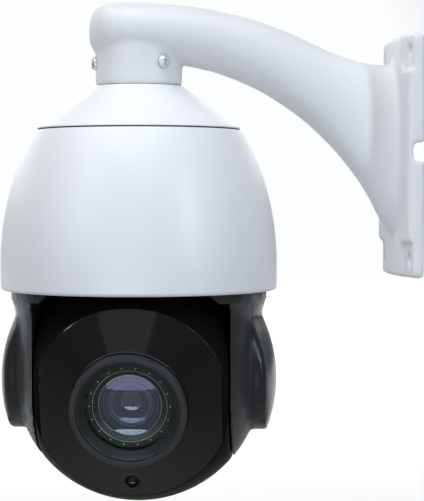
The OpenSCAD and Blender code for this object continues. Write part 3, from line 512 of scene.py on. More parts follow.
class Dressing(Enum):
    """The finish of each material slot whose CAD nodes stay as they are."""

    white_coat = BRACKET_PAINT
    white_shell = BELL_PAINT
    black_shell = YOKE_PLASTIC
    gloss_black = SENSOR_GLOSS
    hood_black = INNER_BLACK
    screw_steel = SCREW_STEEL
    bearing_steel = BEARING_STEEL
    turned_alloy = TURNED_ALLOY
    motor_case = MOTOR_CASE
    brass_part = BRASS
    black_rubber = RUBBER
    green_board = BOARD
    black_parts = INNER_BLACK
    clear_lens = CLEAR_GLASS


# --------------------------------------------------------------------------- mesh tools
def rounded(points: Sequence[tuple[float, float, float]], steps: int = 4) -> Profile:
    """Rounds the corners of an outline.

    Args:
        points: (r, z, corner radius) in order; a radius of 0 leaves the corner sharp.
        steps: Segments in each rounded corner.

    Returns:
        The outline's points.
    """
    outline: Profile = []
    for index, (r, z, radius) in enumerate(points):
        here = Vector((r, z))
        if radius <= 0 or index in (0, len(points) - 1):
            outline.append((r, z))
            continue
        before = (Vector(points[index - 1][:2]) - here).normalized()
        after = (Vector(points[index + 1][:2]) - here).normalized()
        half = before.angle(after) / 2
        reach = radius / math.tan(half)
        centre = here + (before + after).normalized() * radius / math.sin(half)
        start = (here + before * reach - centre).normalized()
        end = (here + after * reach - centre).normalized()
        for step in range(steps + 1):
            outline.append(tuple(centre + start.slerp(end, step / steps) * radius))
    return supported(outline)


def supported(outline: Profile, reach: float = 0.3 * MM, pitch: float = 5.0 * MM) -> Profile:
    """Adds points along the long straights of an outline, so that they shade flat up to their ends.

    Args:
        outline: The outline.
        reach: How near a straight's ends its first and last extra points are.
        pitch: The longest step between them.

    Returns:
        The outline with the extra points.
    """
    full: Profile = [outline[0]]
    for end in outline[1:]:
        first, last = Vector(full[-1]), Vector(end)
        length = (last - first).length
        if length > 4 * reach:
            count = max(1, math.ceil((length - 2 * reach) / pitch))
            for step in range(count + 1):
                travel = reach + (length - 2 * reach) * step / count
                full.append(tuple(first.lerp(last, travel / length)))
        full.append(end)
    return full


def arc(centre: tuple[float, float], radius: float, start: float, end: float, steps: int) -> Profile:
    """Gives the points of an arc, with angles in degrees."""
    turns = (math.radians(start + (end - start) * i / steps) for i in range(steps + 1))
    return [(centre[0] + radius * math.cos(t), centre[1] + radius * math.sin(t)) for t in turns]


def turned(outline: Profile, steps: int, closed: bool = True) -> bmesh.types.BMesh:
    """Spins an outline about Z.

    Args:
        outline: Points (r, z) in metres.
        steps: Segments in a full turn.
        closed: True joins the last point to the first, for a solid ring.

    Returns:
        The turned shape, with its doubles merged and faces outward.
    """
    shape = bmesh.new()
    points = [shape.verts.new((r, 0.0, z)) for r, z in outline]
    edges = [shape.edges.new(pair) for pair in zip(points, points[1:])]
    if closed:
        edges.append(shape.edges.new((points[-1], points[0])))
    bmesh.ops.spin(shape, geom=points + edges, cent=(0, 0, 0), axis=(0, 0, 1),
                   angle=math.tau, steps=steps, use_merge=True)
    bmesh.ops.remove_doubles(shape, verts=shape.verts, dist=1e-6)
    bmesh.ops.dissolve_degenerate(shape, edges=shape.edges, dist=1e-7)
    bmesh.ops.recalc_face_normals(shape, faces=shape.faces)
    return shape


def block(size: Sequence[float], centre: Sequence[float], round_off: float = 0.0) -> bmesh.types.BMesh:
    """Makes a box with rounded edges.

    Args:
        size: Its three sides.
        centre: Its middle.
        round_off: The radius of its edges.

    Returns:
        The box.
    """
    shape = bmesh.new()
    bmesh.ops.create_cube(shape, size=1.0)
    bmesh.ops.scale(shape, vec=tuple(size), verts=shape.verts)
    bmesh.ops.translate(shape, vec=tuple(centre), verts=shape.verts)
    if round_off:
        bmesh.ops.bevel(shape, geom=shape.edges[:], offset=round_off, offset_type="OFFSET",
                        segments=3, profile=0.5, affect="EDGES", material=-1)
    return shape


def trim(shape: bmesh.types.BMesh, point: Sequence[float], normal: Sequence[float],
         fill: bool = True) -> None:
    """Cuts away what lies on the normal's side of a plane.

    Args:
        shape: The shape to cut.
        point: A point on the plane.
        normal: The plane's normal.
        fill: True closes the cut.
    """
    cut = bmesh.ops.bisect_plane(shape, geom=shape.verts[:] + shape.edges[:] + shape.faces[:],
                                 plane_co=point, plane_no=normal, clear_outer=True, dist=1e-7)
    if fill:
        rim = [e for e in cut["geom_cut"] if isinstance(e, bmesh.types.BMEdge)]
        bmesh.ops.contextual_create(shape, geom=rim)


def trim_sides(shape: bmesh.types.BMesh, half: float) -> None:
    """Cuts a shape at a distance to both sides of X = 0 and closes the cuts."""
    for side in (-1, 1):
        trim(shape, (side * half, 0, 0), (side, 0, 0))


def ease(shape: bmesh.types.BMesh, verts: Sequence[bmesh.types.BMVert], passes: int) -> None:
    """Smooths some of a mesh's points, a number of times."""
    for _ in range(passes):
        bmesh.ops.smooth_vert(shape, verts=verts, factor=0.5, use_axis_x=True, use_axis_y=True,
                              use_axis_z=True)


class Piece:
    """One visible piece on its way from a bmesh to a dressed object."""

    def __init__(self, name: str, shape: bmesh.types.BMesh, place: Matrix | None = None) -> None:
        """Makes the object.

        Args:
            name: The piece's name.
            shape: Its mesh, which is freed.
            place: The frame that the mesh is in, or None for the row frame.
        """
        if place is not None:
            bmesh.ops.transform(shape, matrix=place, verts=shape.verts)
        mesh = bpy.data.meshes.new(name)
        shape.to_mesh(mesh)
        shape.free()
        self.object = bpy.data.objects.new(name, mesh)
        bpy.context.scene.collection.objects.link(self.object)

    def settle(self) -> "Piece":
        """Turns the object's modifiers into plain mesh."""
        graph = bpy.context.evaluated_depsgraph_get()
        mesh = bpy.data.meshes.new_from_object(self.object.evaluated_get(graph))
        self.object.modifiers.clear()
        old, self.object.data = self.object.data, mesh
        bpy.data.meshes.remove(old)
        mesh.name = self.object.name
        return self

    def carve(self, cutter: "Piece", operation: str = "DIFFERENCE") -> "Piece":
        """Cuts, joins or keeps the overlap with another piece, which is used up.

        Args:
            cutter: The other piece.
            operation: DIFFERENCE, UNION or INTERSECT.

        Returns:
            This piece.
        """
        step = self.object.modifiers.new("carve", "BOOLEAN")
        step.operation, step.solver, step.object = operation, "EXACT", cutter.object
        self.settle()
        bpy.data.objects.remove(cutter.object)
        return self

    def soften(self, width: float, angle: float = 35.0, segments: int = 2) -> "Piece":
        """Rounds the sharp edges by a Bevel modifier."""
        step = self.object.modifiers.new("soften", "BEVEL")
        step.width, step.segments, step.limit_method = width, segments, "ANGLE"
        step.angle_limit = math.radians(angle)
        step.use_clamp_overlap = True
        step.harden_normals = True
        return self.settle()

    def melt(self, voxel: float, passes: int) -> "Piece":
        """Casts the piece anew in a fine even mesh, which gives its inner corners their fillets.

        Args:
            voxel: The mesh size.
            passes: How many times the mesh is smoothed.

        Returns:
            This piece.
        """
        step = self.object.modifiers.new("cast", "REMESH")
        step.mode, step.voxel_size, step.adaptivity = "VOXEL", voxel, 0.0
        self.settle()
        shape = bmesh.new()
        shape.from_mesh(self.object.data)
        ease(shape, shape.verts[:], passes)
        shape.to_mesh(self.object.data)
        shape.free()
        return self

    def dress(self, finish: Finish, body: str, slot: str, replaced: Sequence[str] = (),
              angle: float = 35.0) -> "Piece":
        """Gives the piece its finish and its body, and hides the CAD nodes that it stands for.

        Args:
            finish: What it is made of.
            body: The CAD body that it moves with.
            slot: The record's material slot; not used.
            replaced: CAD nodes that it stands for.
            angle: Edges sharper than this stay crisp, in degrees.

        Returns:
            This piece.
        """
        mesh = self.object.data
        mesh.materials.clear()
        mesh.materials.append(finish.material())
        mesh.polygons.foreach_set("use_smooth", [True] * len(mesh.polygons))
        mesh.set_sharp_from_angle(angle=math.radians(angle))
        mesh.update()
        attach(self.object, body)
        if replaced:
            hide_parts(*replaced)
        LOG.info("%s: %d faces on %s", self.object.name, len(mesh.polygons), body)
        return self


def node_copy(node: str) -> bmesh.types.BMesh:
    """Copies a CAD node's mesh with its loose triangles joined.

    Args:
        node: The node's name.

    Returns:
        The joined copy.
    """
    shape = bmesh.new()
    shape.from_mesh(frame["nodes"][node].data)
    bmesh.ops.remove_doubles(shape, verts=shape.verts, dist=1e-6)
    return shape


# --------------------------------------------------------------------------- sub-assemblies
@dataclass
class Bracket:
    """The cast wall bracket and the screws in its collar."""

    voxel: float = 1.15 * MM
    passes: int = 5
    screw_angles: tuple[float, ...] = (60.0, 180.0, 300.0)
    screw_turns: tuple[float, ...] = (12.0, 35.0, 28.0)
    head_radius: float = 3.9 * MM
    head_height: float = 2.9 * MM
    seat_radius: float = 24.5 * MM
    steps: int = 48

    def casting(self) -> None:
        """Casts the bracket from its CAD node, with soft edges and fillets."""
        piece = Piece("bracket_casting", node_copy("wall_bracket"))
        piece.melt(self.voxel, self.passes)
        piece.dress(BRACKET_PAINT, "housing", "white_coat", ["wall_bracket"], 60.0)

    def screw(self, name: str, place: Matrix) -> Piece:
        """Turns one pan-head screw and presses its cross recess.

        Args:
            name: The piece's name.
            place: Its frame: Z out of the head, the origin under it.

        Returns:
            The screw.
        """
        r, h = self.head_radius, self.head_height
        outline = rounded([(0, 0, 0), (r, 0, 0.15 * MM), (r, h * 0.45, r * 0.28), (r * 0.68, h, r * 0.3),
                           (0, h, 0)], 5)
        piece = Piece(name, turned(outline, self.steps, False))
        for turn in (0.0, 90.0):
            wing = block((r * 1.15, r * 0.24, h * 1.2), (0, 0, h * 1.05), 0.1 * MM)
            low = [v for v in wing.verts if v.co.z < h]
            bmesh.ops.scale(wing, vec=(0.45, 0.6, 1), verts=low)
            bmesh.ops.rotate(wing, cent=(0, 0, 0), matrix=Matrix.Rotation(math.radians(turn), 3, "Z"),
                             verts=wing.verts)
            piece.carve(Piece("wing", wing))
        piece.soften(0.12 * MM, 40.0, 2)
        piece.object.data.transform(place)
        return piece

    def screws(self) -> None:
        """Places the three collar screws, each with its own turn of the recess."""
        low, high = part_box("collar_screws")
        height = (low[2] + high[2]) / 2 - PLACES.rim_z
        for index, (angle, turn) in enumerate(zip(self.screw_angles, self.screw_turns)):
            place = (PLACES.dome @ Matrix.Rotation(math.radians(angle), 4, "Z")
                     @ Matrix.Translation((self.seat_radius, 0, height))
                     @ Matrix.Rotation(math.radians(90), 4, "Y")
                     @ Matrix.Rotation(math.radians(turn), 4, "Z"))
            piece = self.screw(f"collar_screw_head_{index}", place)
            replaced = ["collar_screws"] if index == 0 else []
            piece.dress(SCREW_STEEL, "housing", "screw_steel", replaced, 40.0)

    def build(self) -> None:
        """Builds the bracket and its screws."""
        self.casting()
        self.screws()


@dataclass
class Bell:
    """The bell housing and the cone cap above it."""

    steps: int = 160
    straight: float = 15 * MM
    ellipse: float = 114.7 * MM
    wall: float = 3.0 * MM
    rim_round: float = 2.2 * MM
    seam: float = 0.45 * MM
    edge: float = 0.5 * MM
    curve_steps: int = 40
    flange: float = 45 * MM
    cap_bore: float = 47 * MM
    cap_wall: float = 4 * MM
    crown: float = 25.6 * MM
    neck_bore: float = 20.6 * MM
    neck_wall: float = 3.4 * MM
    top: float = field(init=False)
    radius: float = field(init=False)

    def __post_init__(self) -> None:
        """Reads the bell's height and radius from the frame."""
        low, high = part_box("bell_housing")
        self.top = high[2] - low[2]
        self.radius = PLACES.bell_r

    def radius_at(self, z: float) -> float:
        """Gives the bell's outer radius at a height above the rim."""
        if z <= self.straight:
            return self.radius
        return self.radius * math.sqrt(1 - ((z - self.straight) / self.ellipse) ** 2)

    def shell(self) -> None:
        """Turns the bell."""
        heights = [self.straight + (self.top - self.seam - self.straight) * i / self.curve_steps
                   for i in range(self.curve_steps + 1)]
        shoulder = self.radius_at(heights[-1])
        outer: Profile = [(self.radius - self.wall, 0.0)]
        outer += arc((self.radius - self.rim_round, self.rim_round), self.rim_round, -90, 0, 6)
        outer += [(self.radius_at(z), z) for z in heights[:-1]]
        outer += arc((shoulder - self.edge, heights[-1] - self.edge), self.edge, 20, 90, 3)
        inside = [(self.radius_at(z) - self.wall, z - self.wall) for z in reversed(heights)]
        flange = [(self.flange, self.top - self.seam), (self.flange, self.top - self.wall)]
        piece = Piece("bell_shell", turned(outer + flange + inside, self.steps), PLACES.dome)
        piece.dress(BELL_PAINT, "housing", "white_shell", ["bell_housing"], 30.0)

    def cap(self) -> None:
        """Turns the cone cap."""
        low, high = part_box("top_cap")
        base, peak = low[2] - PLACES.rim_z, high[2] - PLACES.rim_z
        foot = (high[0] - low[0]) / 2
        under, ledge = peak - self.neck_wall, base + self.cap_wall
        outline = rounded([
            (self.cap_bore, base, 0), (foot, base, 0.4 * MM), (foot - 0.3 * MM, base + 0.9 * MM, 0.4 * MM),
            (self.crown + 1.2 * MM, peak - 1.0 * MM, 3.0 * MM), (self.crown, peak, 0.3 * MM),
            (self.neck_bore, peak, 0), (self.neck_bore, under, 0), (24 * MM, under, 0),
            (foot - 5 * MM, ledge, 0), (self.cap_bore, ledge, 0)], 4)
        piece = Piece("cone_cap", turned(outline, self.steps), PLACES.dome)
        # Its lighter enamel is painted light from above.
        piece.dress(LIT_CAP_PAINT, "housing", "white_shell", ["top_cap"], 30.0)

    def build(self) -> None:
        """Builds the bell and its cap."""
        self.shell()
        self.cap()


@dataclass
class Yoke:
    """The black yoke: its flange, and two arms that swell into the bulging covers."""

    voxel: float = 0.75 * MM
    cut_height: float = -8.0 * MM
    seam: float = 67.0 * MM
    seam_gap: float = 0.08 * MM
    pivot_drop: float = field(init=False)
    fillet_passes: int = 110
    corner_passes: int = 10
    corner_height: float = -24.0 * MM
    top_height: float = 36.0 * MM
    pod_start: float = 56 * MM
    joint_overlap: float = 6 * MM

    def __post_init__(self) -> None:
        """Reads the height of the tilt axis under the rim."""
        self.pivot_drop = PLACES.rim_z - PLACES.pivot.z

    def flange(self) -> None:
        """Keeps the turned top of the yoke, with the sharp edges of its flange eased."""
        shape = node_copy("yoke_frame")
        trim(shape, (0, 0, PLACES.rim_z + self.cut_height), (0, 0, -1), False)
        piece = Piece("yoke_flange", shape)
        piece.soften(0.3 * MM, 40.0, 2)
        piece.dress(YOKE_PLASTIC, "pan", "black_shell", ["yoke_frame"], 30.0)

    def arms(self) -> bpy.types.Object:
        """Casts both arms and their covers as one flowing shape.

        Returns:
            The cast shape, in the yoke's own frame.
        """
        shape = node_copy("yoke_frame")
        trim(shape, (0, 0, PLACES.rim_z + self.cut_height + self.joint_overlap), (0, 0, 1))
        for side in ("left", "right"):
            shape.from_mesh(frame["nodes"][f"{side}_arm_cover"].data)
        bmesh.ops.remove_doubles(shape, verts=shape.verts, dist=1e-6)
        piece = Piece("arm_cast", shape).melt(self.voxel, 1)
        cast = bmesh.new()
        cast.from_mesh(piece.object.data)
        bmesh.ops.transform(cast, matrix=PLACES.yoke.inverted(), verts=cast.verts)
        trim(cast, (0, 0, self.cut_height), (0, 0, 1), False)
        pod = [v for v in cast.verts if abs(v.co.x) > self.pod_start]
        flank = [v for v in pod if self.corner_height < v.co.z + self.pivot_drop < self.top_height]
        foot = [v for v in pod if v.co.z + self.pivot_drop <= self.corner_height]
        ease(cast, flank, self.fillet_passes)
        ease(cast, foot, self.corner_passes)
        cast.to_mesh(piece.object.data)
        cast.free()
        return piece.object

    def build(self) -> None:
        """Builds the flange, then parts the cast shape into the two arms and their covers."""
        self.flange()
        whole = self.arms()
        parts = (("yoke_arms", 0, YOKE_PLASTIC, []),
                 ("left_cover_shell", -1, COVER_PLASTIC, ["left_arm_cover"]),
                 ("right_cover_shell", 1, COVER_PLASTIC, ["right_arm_cover"]))
        for name, side, finish, replaced in parts:
            part = bmesh.new()
            part.from_mesh(whole.data)
            if side:
                trim(part, (side * (self.seam + self.seam_gap), 0, 0), (-side, 0, 0), False)
            else:
                trim(part, (self.seam - self.seam_gap, 0, 0), (1, 0, 0), False)
                trim(part, (self.seam_gap - self.seam, 0, 0), (-1, 0, 0), False)
            Piece(name, part, PLACES.yoke).dress(finish, "pan", "black_shell", replaced, 60.0)
        bpy.data.objects.remove(whole)


@dataclass
class Ball:
    """The ball head's shells and its conical window, in the lens frame."""

    radius: float = 71.5 * MM
    flat: float = 54.5 * MM
    wall: float = 2.4 * MM
    flat_round: float = 1.2 * MM
    window_base: float = 45 * MM
    window_top: float = 55.5 * MM
    window_half: float = 51 * MM
    window_thick: float = 2.6 * MM
    hood_radius: float = 32.7 * MM
    split: float = -14 * MM
    seam: float = 0.25 * MM
    sensor_ring: float = 45 * MM
    sensor_bore: float = 4.5 * MM
    ledge: float = 54.6 * MM
    pocket_radius: float = 54.95 * MM
    bore_radius: float = 51.6 * MM
    beyond: float = 90 * MM
    steps: int = 160

    @property
    def window_edge(self) -> float:
        """The window's outer radius, where it meets the ball."""
        return math.sqrt(self.radius ** 2 - self.window_base ** 2)

    @property
    def slope(self) -> float:
        """The rise of the window's cone toward the lens, per unit of radius."""
        return (self.window_top - self.window_base) / (self.window_edge - self.hood_radius)

    def cone(self, r: float, drop: float = 0.0) -> float:
        """Gives the height of the window's face at a radius, or of a layer under it."""
        return self.window_base + (self.window_edge - r) * self.slope - drop

    def solid(self, shrink: float) -> bmesh.types.BMesh:
        """Turns the flat-sided ball about its tilt axis, in the lens frame.

        Args:
            shrink: How far inside the outer skin it lies.

        Returns:
            The closed ball.
        """
        radius, flat = self.radius - shrink, self.flat - shrink
        rim = math.sqrt(radius ** 2 - flat ** 2)
        start = math.degrees(math.atan2(rim, flat))
        curve = arc((0, 0), radius, 90 - start, -(90 - start), 56)
        side = [(0.0, flat), (rim - self.flat_round * 1.4, flat),
                (rim - self.flat_round * 0.4, flat - self.flat_round * 0.12)]
        outline = side + curve[1:-1] + [(r, -z) for r, z in reversed(side)]
        shape = turned(outline, self.steps, False)
        bmesh.ops.rotate(shape, cent=(0, 0, 0), matrix=Matrix.Rotation(math.radians(90), 3, "Y"),
                         verts=shape.verts)
        return shape

    def under_cone(self, name: str, drop: float, top_r: float) -> Piece:
        """Makes the solid that lies under the window's cone."""
        out, top = self.beyond, self.cone(top_r, drop)
        outline = [(0.0, -0.1), (out, -0.1), (out, self.cone(out, drop)), (top_r, top), (0.0, top)]
        return Piece(name, turned(outline, self.steps, False))

    def shells(self) -> None:
        """Builds the front and rear shells with the seam between them."""
        front = Piece("ball_front_shell", self.solid(0.0))
        front.carve(self.under_cone("cone", 0.0, self.hood_radius), "INTERSECT")
        floor = self.window_base - 2.7 * MM
        pocket = turned([(0.0, floor), (self.pocket_radius, floor), (self.pocket_radius, self.beyond),
                         (0.0, self.beyond)], self.steps, False)
        trim_sides(pocket, self.window_half + 0.15 * MM)
        front.carve(Piece("pocket", pocket))
        hollow = Piece("hollow", self.solid(self.wall))
        hollow.carve(self.under_cone("cone", 6 * MM, 20 * MM), "INTERSECT")
        front.carve(hollow)
        bore = turned([(0.0, 0.03), (self.bore_radius, 0.03), (self.bore_radius, 0.05), (0.0, 0.05)],
                      self.steps, False)
        trim_sides(bore, self.window_half - 2.5 * MM)
        front.carve(Piece("bore", bore))
        shape = bmesh.new()
        shape.from_mesh(front.object.data)
        trim(shape, (0, 0, self.split + self.seam), (0, 0, -1), False)
        shape.to_mesh(front.object.data)
        shape.free()
        front.object.data.transform(PLACES.lens)
        front.dress(BALL_PLASTIC, "head", "black_shell", ["head_shell_front"], 28.0)

        shape = self.solid(0.0)
        trim(shape, (0, 0, self.split - self.seam), (0, 0, 1), False)
        rear = Piece("ball_rear_shell", shape, PLACES.lens)
        wall = rear.object.modifiers.new("wall", "SOLIDIFY")
        wall.thickness, wall.offset = self.wall, -1.0
        rear.settle()
        rear.dress(BALL_PLASTIC, "head", "black_shell", ["head_shell_rear"], 28.0)

    def window(self) -> None:
        """Turns the window, trims its sides and opens the light sensor's hole."""
        inner = self.hood_radius + 0.25 * MM
        edge, base, back = self.window_edge - 0.15 * MM, self.window_base, 52.4 * MM
        outline = rounded([
            (inner, self.cone(inner, self.window_thick), 0), (inner, self.cone(inner), 0.3 * MM),
            (edge - 1.1 * MM, self.cone(edge - 1.1 * MM), 0.5 * MM), (edge, base + 0.1 * MM, 0.15 * MM),
            (edge, base - 0.3 * MM, 0), (self.ledge, base - 0.3 * MM, 0), (self.ledge, base - 2.4 * MM, 0),
            (back, base - 2.4 * MM, 0), (back, self.cone(back, self.window_thick), 0)], 3)
        shape = turned(outline, self.steps)
        trim_sides(shape, self.window_half - 0.1 * MM)
        piece = Piece("window_panel", shape)
        hole = turned([(0, 0.03), (self.sensor_bore, 0.03), (self.sensor_bore, 0.07), (0, 0.07)], 48, False)
        bmesh.ops.translate(hole, vec=(0, -self.sensor_ring, 0), verts=hole.verts)
        piece.carve(Piece("hole", hole))
        piece.soften(0.25 * MM, 50.0, 2)
        piece.object.data.transform(PLACES.lens)
        piece.dress(WINDOW_GLOSS, "head", "gloss_black", ["ir_window"], 30.0)

    def sensor(self) -> None:
        """Turns the dimpled light sensor in its thin collar."""
        face = self.cone(self.sensor_ring)
        outline = rounded([(0, face - 2.6 * MM, 0), (2.2 * MM, face - 2.2 * MM, 1.0 * MM),
                           (3.5 * MM, face - 0.5 * MM, 0.4 * MM), (3.9 * MM, face + 0.15 * MM, 0.2 * MM),
                           (4.3 * MM, face - 0.2 * MM, 0.1 * MM), (4.3 * MM, face - 8 * MM, 0),
                           (0, face - 8 * MM, 0)], 4)
        shape = turned(outline, 64, False)
        bmesh.ops.translate(shape, vec=(0, -self.sensor_ring, 0), verts=shape.verts)
        piece = Piece("light_sensor_cup", shape, PLACES.lens)
        piece.dress(SENSOR_GLOSS, "head", "gloss_black", ["light_sensor"], 40.0)

    def build(self) -> None:
        """Builds the shells, the window and the sensor."""
        self.shells()
        self.window()
        self.sensor()


@dataclass
class LensUnit:
    """The hood and the visible parts of the zoom lens, in the lens frame."""

    steps: int = 128
    hood_radius: float = 32.7 * MM
    hood_top: float = 61 * MM
    hood_foot: float = 48 * MM
    lip: float = 29.2 * MM
    throat: float = 24.8 * MM
    glass_top: float = 53.5 * MM
    ring_top: float = 48.6 * MM
    bezel: float = 20.8 * MM
    # Radius, depth and section radius of each thin ring that paints a bright highlight line on a cell edge.
    edges: tuple[tuple[float, float, float], ...] = (
        (20.85 * MM, 48.15 * MM, 0.14 * MM), (17.75 * MM, 46.25 * MM, 0.12 * MM),
        (12.9 * MM, 43.5 * MM, 0.12 * MM), (11.7 * MM, 43.3 * MM, 0.12 * MM),
        (10.7 * MM, 43.3 * MM, 0.10 * MM), (5.4 * MM, 39.95 * MM, 0.10 * MM))
    barrel: float = 24.4 * MM
    lift: float = 2.4 * MM
    marks: int = 18
    mark_ring: float = 22.5 * MM
    mark_radii: tuple[float, float] = (0.34 * MM, 0.26 * MM)
    mark_height: float = 0.12 * MM
    hood_skirt: float = 37 * MM
    foot_top: float = 50.2 * MM
    cover_radius: float = 26.9 * MM
    cover_back: float = 51.6 * MM
    cell_floor: float = 36.2 * MM
    # Depth, offsets and sizes of the two red beads that paint the lens's red glint.
    bead_depth: float = 39.5 * MM
    beads: tuple[tuple[float, float], ...] = ((-0.25 * MM, 0.55 * MM), (0.95 * MM, 0.35 * MM))

    def seat(self) -> Matrix:
        """Gives the seat of the ring and the elements, close behind the cover glass."""
        return PLACES.lens @ Matrix.Translation((0, 0, self.lift))

    def hood(self) -> None:
        """Turns the hood with its stepped outer groove and conical mouth."""
        r, top = self.hood_radius, self.hood_top
        lip, skirt, groove = self.lip, self.hood_skirt, top - 1.8 * MM
        outline = rounded([
            (26 * MM, self.hood_foot, 0), (skirt, self.hood_foot, 0), (skirt, self.foot_top, 0),
            (r, self.foot_top, 0), (r, top - 1.9 * MM, 0.2 * MM), (r - 0.45 * MM, top - 1.5 * MM, 0.2 * MM),
            (r - 0.45 * MM, top, 0.5 * MM), (lip, top, 0.3 * MM), (lip - 0.2 * MM, groove, 0),
            (lip - 0.8 * MM, groove, 0), (lip - 1.0 * MM, top - 0.9 * MM, 0.3 * MM),
            (self.throat, 54.4 * MM, 0.3 * MM), (self.throat, self.glass_top, 0),
            (27 * MM, self.glass_top, 0), (27 * MM, 50.3 * MM, 0), (26 * MM, 50.3 * MM, 0)], 4)
        piece = Piece("hood_ring", turned(outline, self.steps), PLACES.lens)
        piece.dress(HOOD_PLASTIC, "head", "hood_black", ["lens_hood"], 30.0)

    def ring(self) -> None:
        """Turns the marked ring, the bezel inside it and the marks."""
        bezel, top, floor = self.bezel, self.ring_top, self.cell_floor
        outline = rounded([
            (self.barrel, floor, 0), (self.barrel, top, 0.3 * MM),
            (bezel + 0.4 * MM, top - 0.1 * MM, 0.2 * MM), (bezel, top - 0.5 * MM, 0.1 * MM),
            (bezel, 47.2 * MM, 0.1 * MM), (18.3 * MM, 46.7 * MM, 0.2 * MM),
            (17.8 * MM, 46.2 * MM, 0.1 * MM), (17.8 * MM, floor, 0)], 3)
        piece = Piece("marked_ring", turned(outline, self.steps), self.seat())
        piece.dress(RING_BLACK, "head", "hood_black", ["retaining_ring", "lens_barrel"], 30.0)
        marks = bmesh.new()
        for index in range(self.marks):
            turn = Matrix.Rotation(math.tau * index / self.marks, 4, "Z")
            spot = turn @ Matrix.Translation((self.mark_ring, 0, self.ring_top))
            bmesh.ops.create_cone(marks, cap_ends=True, segments=12, radius1=self.mark_radii[0],
                                  radius2=self.mark_radii[1], depth=self.mark_height, matrix=spot)
        dots = Piece("ring_marks", marks, self.seat())
        dots.dress(MARK_WHITE, "head", "hood_black")

    def wires(self) -> None:
        """Turns fine light grey rings on the edges of the bezels and of the inner cells, as painted bright
        highlight lines.
        """
        for index, (r, d, half) in enumerate(self.edges):
            outline = arc((r, d), half, 0, 360, 10)[:-1]
            ring = Piece(f"cell_edge_highlight_{index}", turned(outline, self.steps), self.seat())
            ring.dress(EDGE_HIGHLIGHT_GREY, "head", "turned_alloy")

    def core(self) -> None:
        """Turns the stepped black cell behind the front element, with two red beads as a painted red glint.
        """
        outline = rounded([
            (17.6 * MM, 43.4 * MM, 0), (13.3 * MM, 43.4 * MM, 0.2 * MM), (13.0 * MM, 41.0 * MM, 0.2 * MM),
            (12.4 * MM, 40.6 * MM, 0), (11.0 * MM, 39.9 * MM, 0), (5.5 * MM, 39.9 * MM, 0.2 * MM),
            (5.3 * MM, 37.6 * MM, 0), (0.0, 36.8 * MM, 0), (0.0, 36.3 * MM, 0), (17.6 * MM, 36.3 * MM, 0)], 3)
        Piece("lens_cell", turned(outline, self.steps, False), self.seat()).dress(
            CORE_BLACK, "head", "hood_black")
        for index, (y, size) in enumerate(self.beads):
            glint_ball = bmesh.new()
            bmesh.ops.create_uvsphere(glint_ball, u_segments=16, v_segments=10, radius=size)
            bmesh.ops.translate(glint_ball, vec=(0, y, self.bead_depth), verts=glint_ball.verts)
            Piece(f"painted_glint_bead_{index}", glint_ball, self.seat()).dress(PAINTED_GLINT_RED, "head", "hood_black")

    def lens(self, name: str, radius: float, middle: float, front: float, back: float, finish: Finish,
             replaced: Sequence[str] = ()) -> None:
        """Grinds one lens element with a spherical face on each side.

        Args:
            name: The piece's name.
            radius: Its radius.
            middle: Height of its edge along the lens axis.
            front: Radius of its front face, or 0 to leave the face out.
            back: Radius of its rear face.
            finish: What it is made of.
            replaced: CAD nodes that it stands for.
        """
        rings, edge = 20, 0.15 * MM
        radii = [radius * i / rings for i in range(rings + 1)]

        def sag(ball: float, r: float) -> float:
            """Gives how far a face has dropped at a radius, counted up from its edge."""
            return math.sqrt(ball ** 2 - r ** 2) - math.sqrt(ball ** 2 - radius ** 2)

        face = [(r, middle + edge + sag(front, r)) for r in radii] if front else []
        rear = [(r, middle - edge - sag(back, r)) for r in reversed(radii)]
        piece = Piece(name, turned(face + rear, self.steps, False), self.seat())
        piece.dress(finish, "head", "clear_lens", replaced, 30.0)

    def stack(self) -> None:
        """Builds the cover glass and the three lens elements behind it.

        The cover glass and the two rear elements are open surfaces of one optical face each, so that
        light reaches the cell through fewer clear layers.
        """
        top = self.glass_top - 0.1 * MM
        cover = turned([(self.cover_radius, self.cover_back), (self.cover_radius, top), (0, top)],
                       self.steps, False)
        Piece("cover_glass", cover, PLACES.lens).dress(CLEAR_GLASS, "head", "clear_lens", ["lens_window"])
        self.lens("front_element", 17.6 * MM, 45.9 * MM, 70 * MM, 96 * MM, FRONT_GLASS, ["front_lens"])
        self.lens("inner_element", 12.2 * MM, 42.6 * MM, 0.0, 61 * MM, INNER_GLASS)
        self.lens("pupil_element", 5.2 * MM, 40.2 * MM, 0.0, 23 * MM, PUPIL_GLASS)

    def build(self) -> None:
        """Builds the hood, the ring and the lens elements."""
        self.hood()
        self.ring()
        self.wires()
        self.core()
        self.stack()


# --------------------------------------------------------------------------- carried nodes
def dress_nodes() -> None:
    """Gives every CAD node that still shows the finish of its material slot."""
    slots = {part["node"]: part["material_slot"] for part in frame["record"]["subparts"]}
    for name, node in frame["nodes"].items():
        finish = Dressing[slots[name]].value
        node.data.materials.clear()
        node.data.materials.append(finish.material())
        LOG.info("node %s: %s", name, finish.name)


